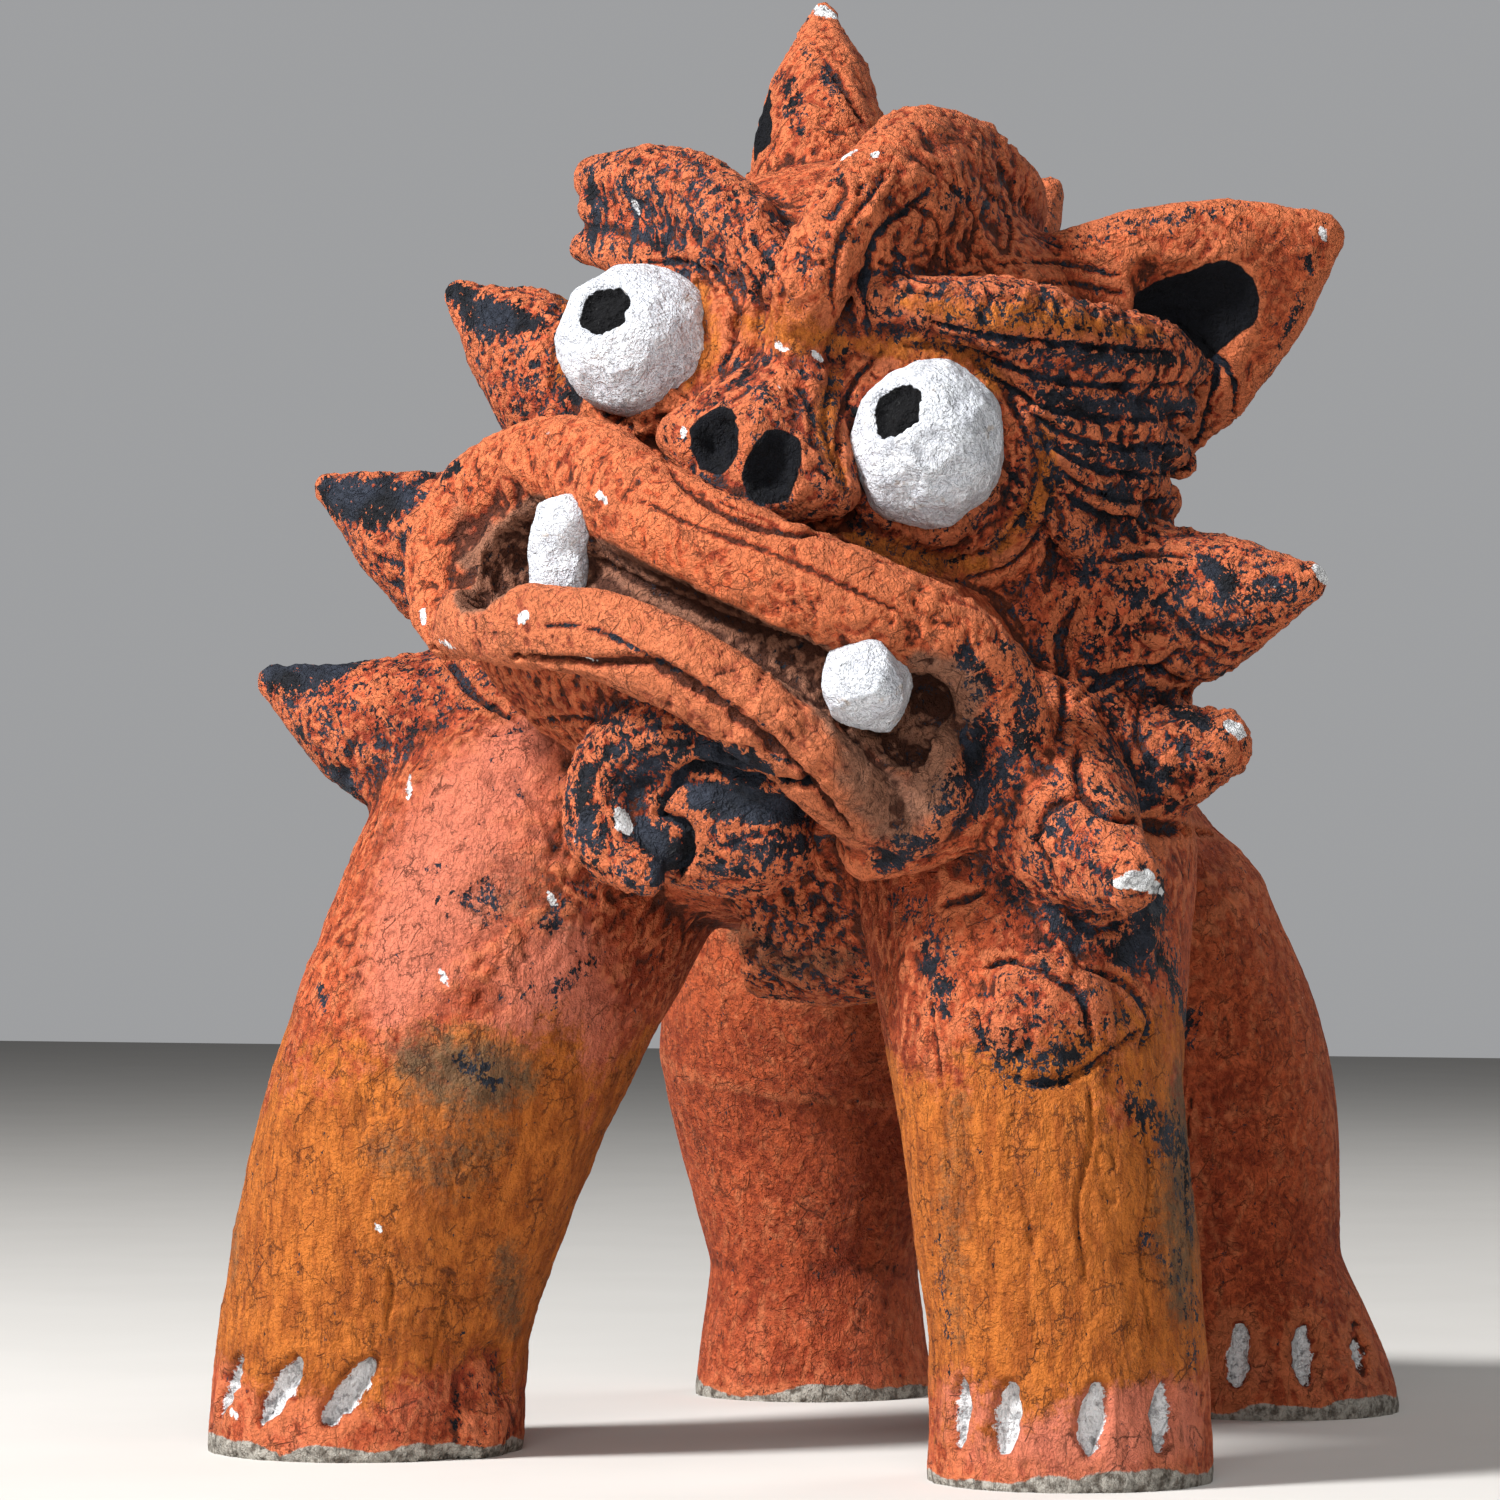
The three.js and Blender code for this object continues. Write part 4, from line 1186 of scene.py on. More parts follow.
    def lay(self, clay: Clay) -> None:
        """Lays the legs, the packing and the scales.

        Args:
            clay: The mass of clay.
        """
        legs = self.all()
        for leg in legs:
            leg.lay(clay)
        azimuth, radius = self.notch
        low, high = (legs[1].side(azimuth, height, 4) for height in (0, radius))
        notch = Coil((low - 2 * radius * Z_AXIS, high), swell(radius, (0, 1), (1, 0.8)), face=Y_AXIS)
        clay.cut("foreleg_right", [notch], Matrix())
        clods = [
            Ball(tuple(legs[1].side(turn, height, -out)), (size, size, size))
            for turn, height, out, size in self.clods
        ]
        clay.lay("foot_packing", clods, Matrix(), True, True)
        clay.style("foot_packing", Slot.RED, 0.4, 1.6, slate=0.25)
        for node, turn, height in (("scale_lower", 29, 90), ("scale_upper", 47, 108)):
            across = Vector((math.cos(math.radians(turn)), math.sin(math.radians(turn)), 0))
            middle = legs[0].side(turn, height)
            ends = [middle + across * share * self.scale[0] for share in (-0.5, 0.5)]
            girth = swell(self.scale[0], (0, 0.55), (0.5, 0.8), (1, 0.5))
            flat = self.scale[1] / self.scale[0] * 0.5
            scale = Coil((ends[0], middle, ends[1]), girth, flat, across.cross(Z_AXIS).normalized())
            clay.lay(node, [scale], Matrix())
            clay.style(node, Slot.SLATE, 0.3, 1.3, slate=0.3)

    def marks(self) -> list[Stroke]:
        """The claw marks, and the marks of the table."""
        return [stroke for leg in self.all() for stroke in leg.marks()] + super().marks()


@dataclass(frozen=True)
class Head:
    """The skull, the muzzle and the neck.

    Attributes:
        place: The middle of the skull, in the figure.
        lean: Degrees that the head leans to the figure's left.
    """

    place: Point = (25.44, -69.0, 210.68)
    lean: float = 17.5
    skull: Ball = Ball((0, 0, 0), (58, 45.8, 56.3))
    muzzle: Ball = Ball((1.2, -26.1, -45.8), (63.2, 41.8, 34.8))
    mane: Ball = Ball((1.7, 8.1, -44.1), (84.1, 31.9, 74.2))
    neck: tuple[float, float, float] = (42, 0.8, 62)  # radius, flatness and depth

    def frame(self) -> Matrix:
        """Where the head's frame is."""
        return Matrix.Translation(self.place) @ Matrix.Rotation(math.radians(self.lean), 4, "Y")

    def lay(self, clay: Clay) -> None:
        """Lays the neck and the head.

        Args:
            clay: The mass of clay.
        """
        radius, flatness, depth = self.neck
        girth = swell(radius, (0, 1), (1, 1))
        neck = Coil(((0, 0, -depth), self.skull.at), girth, flatness, Y_AXIS, sides=48)
        clay.lay("neck", [neck], self.frame())
        clay.lay("head", [self.skull, self.muzzle], self.frame())
        clay.style("neck", Slot.RED, 1.0, 1.0, slate=0.08)
        clay.style("head", Slot.RED, 0.45, 1.0, slate=0.08)


@dataclass(frozen=True)
class Feature(Marked):
    """Something that sits on the head."""

    head: Head = Head()


@dataclass(frozen=True)
class Mouth(Feature):
    """The lips, and the pits at the corners of the mouth."""

    line: tuple[tuple[float, float], ...] = ((-42, 6), (-20, 14), (0, 12), (22, 8), (40, 0), (58, -12))
    corners: tuple[tuple[float, ...], ...] = ((-38, 8, 13, 17), (54, 4, 6.5, 11))  # width and depth are last
    groove: float = 5.0
    upper: Points = (
        (-58, -16, 1), (-70, 4, 1), (-66, 28, 1), (-42, 42, 1.25), (-14, 36, 1.25), (12, 30, 1.25),
        (36, 26, 1.25), (58, 22, 1.25), (72, 8, 1), (77, -6, 1.25), (71, -26, 1.5), (60, -42, 2),
    )
    lower: Points = (
        (-58, -20, 1), (-42, -14, 1), (-24, -8, 1.25), (-6, -3, 1.25),
        (10, -6, 1.25), (26, -14, 1.25), (44, -26, 1.5), (64, -38, 2),
    )
    radii: tuple[float, float] = (11.0, 9.6)
    flatness: float = 0.72
    web: tuple[float, ...] = (60, -22, 3.5, 12, 6, 14)  # clay between the lips: where, and its radii
    proud: float = 4.0

    MARKS = (
        # creases
        ((1.6, 2.2), (515, 657, 590, 664, 650, 664, 700, 693, 760, 735, 805, 778, 850, 832)),
        ((0.9, 0.9, "slate", 0.42), (540, 625, 592, 628, 640, 652, 700, 683, 765, 725)),
        ((0.9, 0.7), (640, 500, 700, 528, 770, 552, 850, 588, 900, 612)),
        ((0.9, 0.8), (655, 470, 720, 500, 800, 530, 870, 545)),
        ((0.9, 0.7), (880, 560, 940, 575, 1000, 600, 1030, 640)),
        ((1.2, 1.2, "dust", 1), (600, 560, 660, 592, 740, 625, 810, 640)),
        # dust and slate in and round the mouth
        ((4, 0, "dust", 0.85), (640, 588, 720, 635, 800, 690, 850, 745)),
        ((7, 0, "dust", 0.85), (850, 735, 880, 790, 900, 830)),
        ((5, 0, "dust", 1), (920, 660, 960, 690, 930, 750, 890, 745)),
        ((6, 0, "dust", 1), (470, 560, 520, 540, 600, 560)),
        ((6, 0, "slate", 0.55), (1005, 640, 1035, 690, 1012, 760, 960, 820)),
        ((5.5, 0, "slate", 0.5), (965, 650, 985, 700, 975, 760, 930, 830)),
        ((5, 0, "dust", 0.8), (900, 700, 930, 750, 920, 800, 880, 830)),
        ((5, 0, "slate", 0.62), (880, 868, 930, 840)),
        ((3, 0, "dust", 0.4), (455, 500, 470, 560, 462, 590)),
        # chips
        ((1.8, 0, "white", 0.9), (520, 620, 528, 616)),
        ((1.6, 0, "white", 1), (423, 612, 424, 622)),
        ((1.3, 0, "white", 0.9), (600, 495, 604, 500)),
        ((1.5, 0, "white", 0.8), (440, 642, 455, 648)),
        ((1.2, 0, "white", 0.8), (575, 660, 590, 664)),
    )

    def lip(self, line: Points, radius: float) -> Coil:
        """One lip along a line of azimuths, elevations and heights off the muzzle.

        Args:
            line: Azimuth, elevation and height of each point.
            radius: The coil's radius.

        Returns:
            The coil.
        """
        path = [self.head.muzzle.point(a, e, out * self.proud) for a, e, out in line]
        girth = swell(radius, (0, 0.7), (0.15, 0.85), (0.5, 1), (0.9, 0.85), (1, 0.7))
        return Coil(path, girth, self.flatness, Y_AXIS)

    def lay(self, clay: Clay) -> None:
        """Lays the lips and cuts the mouth.

        Args:
            clay: The mass of clay.
        """
        muzzle, place = self.head.muzzle, self.head.frame()
        pits = [Ball(tuple(muzzle.point(a, e)), (wide, deep, wide)) for a, e, wide, deep in self.corners]
        web = Ball(tuple(muzzle.point(*self.web[:3])), self.web[3:])
        groove = Coil([muzzle.point(a, e) for a, e in self.line], swell(self.groove, (0, 1), (1, 1)))
        clay.lay("lip_upper", [self.lip(self.upper, self.radii[0])], place)
        clay.lay("lip_lower", [self.lip(self.lower, self.radii[1]), web], place)
        clay.cut("head", [*pits, groove], place, paint=Paint.DUST)
        clay.style("lip_upper", Slot.RED, 0.25, 0.8, slate=0.04)
        clay.style("lip_lower", Slot.DUSTY, 0.25, 0.8)


@dataclass(frozen=True)
class Nose(Feature):
    """A wedge with two open nostrils that comes down from between the brows."""

    radius: float = 6.0
    corners: tuple[tuple[Point, float], ...] = (
        ((0.08, -0.74, 0.26), 0.8),
        ((0.11, -1.03, -0.05), 0.85),
        ((0.18, -0.98, -0.24), 1),
        ((-0.2, -0.88, -0.13), 1),
        ((0.37, -0.86, -0.15), 1.05),
    )
    nostrils: tuple[tuple[Point, Point, float, float], ...] = (  # middle, lean, radius and length
        ((-0.025, -1.07, -0.08), (-4, 0, 6), 6.1, 2.5),
        ((0.245, -1.08, -0.1), (1, 0, 7), 4.8, 7),
    )

    MARKS = (
        ((1.4, 1.4), (655, 442, 680, 480, 725, 512, 790, 532, 850, 528)),
        ((5, 0, "slate", 0.42), (735, 365, 760, 400, 757, 440)),
        ((3.5, 0, "slate", 0.4), (690, 470, 735, 495, 800, 505)),
        ((4, 0, "slate", 0.36), (800, 390, 815, 430, 820, 470)),
        ((1.4, 0, "white", 0.9), (682, 428, 684, 436)),
        ((1.3, 0, "white", 0.8), (776, 344, 788, 350), (812, 352, 822, 360)),
    )

    def lay(self, clay: Clay) -> None:
        """Lays the nose and opens the nostrils.

        Args:
            clay: The mass of clay.
        """
        width = self.head.skull.radii[0]
        balls = [(Vector(place) * width, self.radius * size) for place, size in self.corners]
        clay.lay("nose", [Hull(balls)], self.head.frame())
        for place, lean, radius, length in self.nostrils:
            along = Vector(lean).normalized() * length / 2
            low, high = (Vector(place) * width + along * way for way in (-1, 1))
            nostril = Coil((low, high), swell(radius, (0, 1), (1, 0.8)))
            # The nostril's walls are painted near-black: black paint, deepened into painted shade of the hole.
            clay.cut("nose", [nostril], self.head.frame(), paint=Paint.PIT)
        clay.style("nose", Slot.SLATE, 0.35, 0.8, slate=0.28)


@dataclass(frozen=True)
class Brows(Feature):
    """Bushy brows: a ridge over each eye, and strands below it that fan out towards the ear."""

    radii: tuple[float, float] = (8.5, 5.2)
    lines: tuple[tuple[str, Points, tuple[Points, ...]], ...] = (  # node, ridge and strands
        (
            "brow_left",
            ((18, 30, 0.2), (40, 33, 0.4), (68, 32, 0.5), (92, 30, 0.95), (108, 28, 1.8)),
            (
                ((44, 31, 0.1), (74, 27, 0.6), (104, 20, 1.5)),
                ((52, 24, 0.1), (78, 19, 0.6), (103, 12, 1.3)),
                ((58, 16, 0.1), (80, 11, 0.6), (101, 4, 1.1)),
                ((60, 8, 0.1), (80, 3, 0.5), (98, -4, 0.8)),
                ((60, 0, 0), (76, -5, 0.4), (92, -11, 0.5)),
            ),
        ),
        (
            "brow_right",
            ((-4, 28, 0), (-24, 36, 0.2), (-46, 38, 0.7), (-60, 34, 1.4), (-67, 29, 2.1)),
            (
                ((-30, 29, 0.1), (-52, 30, 0.7), (-64, 25, 1.7)),
                ((-38, 24, 0), (-54, 23, 0.5), (-66, 19, 1.3)),
            ),
        ),
    )

    MARKS = (
        # gashes between the strands
        ((0.85, 1.5, "slate", 0.72), (930, 322, 1000, 338, 1090, 346, 1180, 352),
         (960, 345, 1030, 374, 1110, 386, 1195, 384), (985, 372, 1040, 404, 1115, 420, 1200, 414),
         (1015, 402, 1065, 434, 1130, 448, 1205, 440), (1035, 432, 1080, 462, 1140, 476, 1200, 466),
         (1045, 462, 1090, 490, 1145, 502, 1190, 492), (1060, 492, 1100, 514, 1150, 522),
         (1178, 325, 1214, 360, 1206, 420, 1186, 470), (1202, 340, 1236, 385, 1226, 440, 1200, 490)),
        ((0.85, 0.3, "slate", 0.72), (600, 178, 606, 215, 598, 256), (622, 176, 636, 214, 628, 262),
         (648, 178, 668, 218, 662, 268), (672, 190, 700, 226, 698, 268)),
        # paint beside them
        ((3.2, 0, "slate", 0.62), (1000, 345, 1090, 356, 1185, 360)),
        ((4, 0, "slate", 0.7), (1040, 395, 1120, 408, 1195, 404)),
        ((4, 0, "slate", 0.68), (1070, 445, 1130, 458, 1190, 450)),
        ((3.6, 0, "slate", 0.62), (1085, 488, 1140, 502)),
        ((3.5, 0, "slate", 0.55), (1180, 335, 1200, 350, 1208, 380)),
        ((3, 0, "slate", 0.62), (590, 170, 596, 215, 592, 250)),
        ((3, 0, "slate", 0.5), (622, 185, 650, 215)),
        ((3, 0, "slate", 0.4), (890, 300, 930, 318, 960, 335)),
        # a chip
        ((1.4, 0, "white", 0.9), (632, 200, 640, 212)),
    )

    def lay(self, clay: Clay) -> None:
        """Lays the ridges and the strands.

        Args:
            clay: The mass of clay.
        """
        big, small = self.radii
        for node, ridge, strands in self.lines:
            girth = swell(big, (0, 0.6), (0.35, 1), (0.8, 1), (1, 0.6))
            thin = swell(small, (0, 0.7), (0.6, 1), (1, 0.7))
            on = self.head.skull.point
            coils = [Coil([on(a, e, out * big) for a, e, out in ridge], girth)]
            coils += [Coil([on(a, e, out * big) for a, e, out in line], thin) for line in strands]
            clay.lay(node, coils, self.head.frame())
            clay.style(node, Slot.SLATE, 0.2, 1.2, slate=0.36)


@dataclass(frozen=True)
class Crest(Feature):
    """A fin between the brows with a thick rolled rim over it."""

    radius: float = 8.0
    fin: Ball = Ball((11.6, -10.4, 40.6), (11, 32, 25))
    rim: Points = (
        (3, 14, 0.1), (4, 30, 1), (7, 49, 1.25), (18, 72, 1), (140, 68, 0.25), (160, 50, -0.5),
    )

    MARKS = (
        # edges and tears
        ((1.3, 1.3, "slate", 0.55), (868, 335, 862, 290, 880, 235, 930, 190)),
        ((1, 0.9, "slate", 0.4), (838, 330, 832, 280, 846, 230, 884, 178)),
        ((0.9, 0.9), (905, 200, 940, 225, 930, 270), (945, 180, 975, 215, 965, 265)),
        ((0.9, 0.8), (985, 185, 1010, 225, 1005, 265)),
        ((0.9, 0.9, "slate", 0.4), (880, 262, 930, 280, 985, 270)),
        # paint
        ((3.5, 0, "slate", 0.42), (925, 205, 975, 198, 1010, 215), (895, 250, 905, 290, 890, 320)),
        ((3.5, 0, "slate", 0.38), (792, 300, 812, 250, 838, 205)),
        # chips
        ((1.3, 0, "white", 0.8), (840, 160, 856, 150)),
        ((1, 0, "white", 0.8), (870, 158, 878, 152)),
    )

    def lay(self, clay: Clay) -> None:
        """Lays the fin and its rim.

        Args:
            clay: The mass of clay.
        """
        path = [self.head.skull.point(a, e, out * self.radius) for a, e, out in self.rim]
        girth = swell(self.radius, (0, 0.75), (0.2, 1), (0.8, 1), (1, 0.6))
        clay.lay("crest", [self.fin, Coil(path, girth, face=X_AXIS)], self.head.frame())
        clay.style("crest", Slot.RED, 0.35, 1.3, slate=0.16)


@dataclass(frozen=True)
class Ears(Feature):
    """Two cupped leaves."""

    half_width: float = 26.0
    tip: float = 4.0
    hollow: float = 11.0
    leaves: tuple[tuple[str, Point, Point, Point, float, float], ...] = (
        # node, root on the skull, tip, facing, share of the half width, and thickness over width
        ("ear_left", (118, 32, -5), (1.32, 0.55, 1.17), (0.74, -0.66, 0.1), 1, 0.4),
        ("ear_right", (-132, 42, -5), (-0.84, 0.6, 1.41), (-0.86, -0.5, 0.1), 0.85, 0.72),
    )

    MARKS = (
        ((0.9, 0.8, "slate", 0.4), (1000, 262, 1060, 262, 1120, 276), (1010, 285, 1070, 282, 1125, 295)),
        ((4, 0, "slate", 0.4), (1040, 245, 1100, 232, 1160, 216)),
        ((3, 0, "slate", 0.45), (1130, 232, 1190, 212, 1250, 205)),
        ((2.2, 0, "slate", 0.42), (1312, 240, 1300, 300, 1270, 370)),
        # a slit in the ear, pressed in and painted near-black: black paint and painted shade in the slit
        ((2.6, 2.4, "pit", 1), (743, 118, 740, 150, 748, 172)),
        ((1.2, 0.7), (812, 40, 838, 80, 862, 120)),
        ((4.5, 0, "slate", 0.46), (760, 60, 790, 90, 800, 130)),
        ((3, 0, "slate", 0.42), (790, 30, 815, 60, 845, 110)),
        ((4, 0, "slate", 0.36), (735, 190, 760, 215, 770, 240)),
        ((2.2, 0, "white", 1), (815, 8, 836, 16)),
        ((1.3, 0, "white", 0.9), (1321, 228, 1326, 240)),
    )

    def lay(self, clay: Clay) -> None:
        """Lays both ears and cups them.

        Args:
            clay: The mass of clay.
        """
        skull, place = self.head.skull, self.head.frame()
        for node, root, tip, facing, share, flatness in self.leaves:
            root, tip = skull.point(*root), Vector(tip) * skull.radii[0]
            facing, size, deep = Vector(facing).normalized(), self.half_width * share, self.hollow * share
            girth = (*swell(size, (0, 1.15), (0.4, 0.95), (0.75, 0.58)), (1, self.tip))
            cup = [root.lerp(tip, along) + facing * size * flatness for along in (0.27, 0.5)]
            clay.lay(node, [Coil((root, tip), girth, flatness, facing)], place)
            clay.cut(node, [Coil(cup, swell(deep, (0, 1.75), (1, 1.1)), 0.26, facing)], place)
            # The inner cup is painted near-black: black paint, deepened into painted shade of the hollow.
            clay.cut(node, [Coil(cup, swell(deep, (0, 1), (1, 0.7)), 0.62, facing)], place, paint=Paint.PIT)
            clay.style(node, Slot.RED, 0.7, 0.9, slate=0.1)


@dataclass(frozen=True)
class Eyes(Feature):
    """Bulging eyes of crumpled plaster with pierced pupils, each cradled by a roll of clay."""

    radius: float = 15.5
    azimuth: float = 35.0
    sides: tuple[tuple[str, int, float, Point], ...] = (  # name, side, elevation and share of each radius
        ("left", 1, 4.5, (1, 1, 1.1)),
        ("right", -1, 7.0, (1.1, 1.04, 1.03)),
    )
    lid: float = 4.0
    pupil: float = 6.1
    pierced: float = 3.3  # depth of the pupils
    gaze: Point = (-0.24, -0.9, 0.36)

    MARKS = (
        # wrinkles
        ((0.9, 1.2, "slate", 0.3), (712, 268, 736, 305, 730, 350, 706, 385),
         (734, 250, 760, 295, 754, 345, 735, 372), (752, 236, 780, 285, 776, 330),
         (640, 262, 690, 264, 716, 290), (1008, 400, 1032, 450, 1030, 500, 1000, 545, 950, 562),
         (1026, 405, 1052, 460, 1046, 520, 1012, 565, 960, 580), (1040, 470, 1062, 520, 1040, 575),
         (905, 345, 960, 350, 1000, 385, 1022, 420), (880, 350, 850, 390, 838, 440, 846, 490),
         (832, 370, 826, 420, 836, 470)),
        # ochre in them, orange in the hollows round the eyes: partly painted glow of light bounced in the
        # hollows
        ((5, 0, "ochre", 0.7), (860, 345, 900, 350, 960, 352, 1000, 385)),
        ((4, 0, "ochre", 0.7), (836, 372, 828, 430, 842, 480)),
        ((7, 0, "ochre", 0.7), (745, 325, 800, 330, 840, 345)),
        ((5, 0, "ochre", 0.7), (700, 290, 708, 340, 690, 385), (1000, 545, 1040, 500, 1045, 430),
         (850, 535, 910, 560, 980, 565), (900, 300, 980, 316, 1080, 322, 1160, 334),
         (560, 380, 580, 330, 560, 290)),
        ((3, 0, "slate", 0.42), (985, 548, 1030, 510, 1040, 470)),
        ((1.2, 0.8), (590, 405, 630, 425, 680, 410)),
    )

    def lay(self, clay: Clay) -> None:
        """Lays the eyelids.

        Args:
            clay: The mass of clay.
        """
        reach = self.radius + self.lid * 0.5
        skull = self.head.skull
        for name, side, elevation, _ in self.sides:
            node, slot = "eyelid_" + name, Slot.SLATE if side > 0 else Slot.RED
            path = []
            for turn in (-10, -55, -100, -150):
                a = math.radians(turn)
                across = self.azimuth + math.degrees(reach * math.cos(a) / skull.radii[0])
                up = elevation + math.degrees(reach * math.sin(a) / skull.radii[2])
                path.append(skull.point(side * across, up, self.lid * 0.25))
            clay.lay(node, [Coil(path, swell(self.lid, (0, 0.6), (0.5, 1), (1, 0.6)))], self.head.frame())
            clay.style(node, slot, 0.25, 1.2, slate=0.32 if side > 0 else 0.08)

    def build(self, dress: "Dresser") -> None:
        """Makes the two eyeballs.

        Args:
            dress: Gives each piece its material.
        """
        for name, side, elevation, shares in self.sides:
            centre = self.head.skull.point(side * self.azimuth, elevation, 1)
            ball = Plaster("eye_" + name, 6 - side)
            bm = bmesh.new()
            bmesh.ops.create_icosphere(bm, subdivisions=6, radius=1)
            away = np.array([v.co[:] for v in bm.verts])
            away /= np.linalg.norm(away, axis=1, keepdims=True)
            out = ball.crumple(away, self.radius)
            gaze = np.array(Vector(self.gaze).normalized())
            off = np.arccos(np.clip(away @ gaze, -1, 1)) * self.radius
            off += 0.9 * ball.noise.at(away * self.radius, 3.1) + 0.5 * ball.noise.at(away * self.radius, 1.4)
            # The pupil, which the plaster paints near-black: black paint in the pierced hole, also standing in
            # for its shade.
            inside = ramp(self.pupil + 0.5, self.pupil - 0.7, off)
            out -= inside * (self.pierced + 0.5 * ball.noise.at(away * self.radius, 1.8))
            places = away * out[:, None] * shares
            ball.build(bm, places, self.head.frame() @ Matrix.Translation(centre), inside, dress)


@dataclass(frozen=True)
class Fangs(Feature):
    """Two white fangs: a slab that hangs from the upper lip, and a knob that points forward."""

    length: float = 20.0
    radius: float = 6.5
    knob: float = 8.8

    def build(self, dress: "Dresser") -> None:
        """Makes the fangs.

        Args:
            dress: Gives each piece its material.
        """
        muzzle = self.head.muzzle
        top = muzzle.point(-26, 27, self.radius * 0.6) - 2.6 * X_AXIS
        low = top + Vector((0.16, 0.05, -0.99)) * self.length
        slab = Coil((top, low), swell(self.radius, (0, 1), (1, 0.9)), 0.6, Y_AXIS)
        root = muzzle.point(44, 3, -self.knob * 0.1)
        front = root + Vector((0.05, -1, 0.35)) * self.knob * 0.7
        knob = Coil((root, front), swell(self.knob, (0, 0.9), (1, 1)))
        for node, form, seed, bent in (("fang_right", slab, 7, 1.5), ("fang_left", knob, 8, 0.6)):
            plaster = Plaster(node, seed, 44, 0.88)
            bm = form.build()
            for _ in range(2):
                bmesh.ops.subdivide_edges(bm, edges=bm.edges[:], cuts=1, use_grid_fill=True)
            bmesh.ops.triangulate(bm, faces=bm.faces[:])
            places = np.array([v.co[:] for v in bm.verts])
            places += np.stack([Noise(seed + axis).at(places, 8.0) for axis in (10, 20, 30)], axis=1) * bent
            middle = places.mean(axis=0)
            away = places - middle
            far = np.linalg.norm(away, axis=1)
            away /= far[:, None]
            places = away * (far * plaster.crumple(away, 1.0))[:, None]
            plaster.build(bm, places, self.head.frame() @ Matrix.Translation(middle), np.zeros(len(far)), dress)


@dataclass
class Plaster:
    """A piece of crumpled white plaster.

    Attributes:
        node: The node that it replaces.
        seed: Makes its facets unlike those of the others.
        facets: How many flats it has.
        deepest: How far from the middle the deepest flat is, over the radius.
    """

    node: str
    seed: int
    facets: int = 90
    deepest: float = 0.945

    def __post_init__(self) -> None:
        """Draws the facets."""
        rng = np.random.default_rng(self.seed)
        away = rng.normal(size=(self.facets, 3))
        self.away = away / np.linalg.norm(away, axis=1, keepdims=True)
        self.depth = rng.uniform(self.deepest, 0.995, self.facets)
        self.noise = Noise(self.seed)

    def crumple(self, away: np.ndarray, radius: float) -> np.ndarray:
        """The distance from the middle in each direction: flat facets with worn edges.

        Args:
            away: The directions.
            radius: The mean distance.

        Returns:
            The distances.
        """
        facing = np.maximum(away @ self.away.T, 0.05)
        cut = np.minimum((self.depth / facing).min(axis=1), 1.0)
        rough = self.noise.layers(away * 15, 3.4, 3) * 0.016 + self.noise.at(away * 15, 0.9) * 0.005
        return radius * (cut + rough + 0.035 * self.noise.at(away * 15, 11) + 0.004)

    def build(
        self, bm: BMesh, places: np.ndarray, frame_: Matrix, pit: np.ndarray, dress: "Dresser"
    ) -> None:
        """Makes the object.

        Args:
            bm: The mesh that is shaped.
            places: A new place for each of its vertices.
            frame_: Where its frame is.
            pit: How dark each vertex is.
            dress: Gives it its material.
        """
        for vertex, place in zip(bm.verts, places):
            vertex.co = place
        whole = Matrix.Scale(MM, 4) @ Matrix.Translation(ORIGIN) @ frame_
        bm.transform(whole)
        bmesh.ops.recalc_face_normals(bm, faces=bm.faces[:])
        for face in bm.faces:
            face.smooth = True
        mesh = bpy.data.meshes.new(self.node)
        bm.to_mesh(mesh)
        bm.free()
        carry(mesh, Paint.PIT, pit)
        dress.fit(show(self.node + "_plaster", mesh), self.node, Slot.WHITE)


@dataclass(frozen=True)
class Beard(Feature):
    """A goatee that curls round on itself like a breaking wave."""

    radii: Point = (22, 15, 14)
    curl_radius: float = 9.0
    curl: Points = (
        (0.73, -0.36, 0.45), (-0.18, -0.55, 0.55), (-0.73, -0.55, 0.1), (-0.55, -0.7, -0.55),
        (0, -0.8, -0.73),
    )

    MARKS = (
        # strands
        ((0.8, 0.4, "slate", 0.5), (700, 728, 640, 730, 596, 770, 592, 825),
         (690, 745, 645, 750, 615, 782, 606, 812), (815, 822, 760, 806, 716, 806),
         (818, 846, 765, 834, 720, 846), (720, 742, 760, 752, 800, 772)),
        # grooves
        ((1.6, 2.8, "slate", 0.9), (806, 786, 745, 778, 694, 769, 668, 790, 655, 814),
         (655, 814, 678, 822, 688, 848, 676, 880)),
        # paint
        ((3.5, 0, "slate", 0.75), (586, 765, 580, 800, 592, 840)),
        ((4, 0, "slate", 0.6), (690, 752, 650, 768, 628, 800)),
        ((5, 0, "slate", 0.95), (645, 830, 662, 850, 660, 876)),
        ((4.5, 0, "slate", 0.95), (700, 750, 730, 756, 765, 768)),
        ((5, 0, "slate", 0.95), (695, 795, 740, 800, 800, 812)),
        ((6, 0, "slate", 0.6), (735, 840, 780, 850, 815, 840)),
        ((4.5, 0, "slate", 0.55), (700, 865, 760, 872)),
        # a chip
        ((2.6, -0.4, "white", 1), (618, 812, 626, 832)),
    )

    def lay(self, clay: Clay) -> None:
        """Lays the mass and the curl.

        Args:
            clay: The mass of clay.
        """
        chin, width = self.head.muzzle.point(20, -58), self.radii[0]
        mass = Ball(tuple(chin + Vector((0.14, -0.1, -0.18)) * width), self.radii)
        girth = swell(self.curl_radius, (0, 0.7), (0.35, 1), (0.75, 0.85), (1, 0.45))
        curl = Coil([chin + Vector(p) * width for p in self.curl], girth, face=Y_AXIS)
        clay.lay("beard", [mass], self.head.frame())
        clay.lay("beard_curl", [curl], self.head.frame())
        clay.style("beard", Slot.SLATE, 0.35, 0.9, slate=0.35)
        clay.style("beard_curl", Slot.SLATE, 0.3, 0.8, slate=0.42)


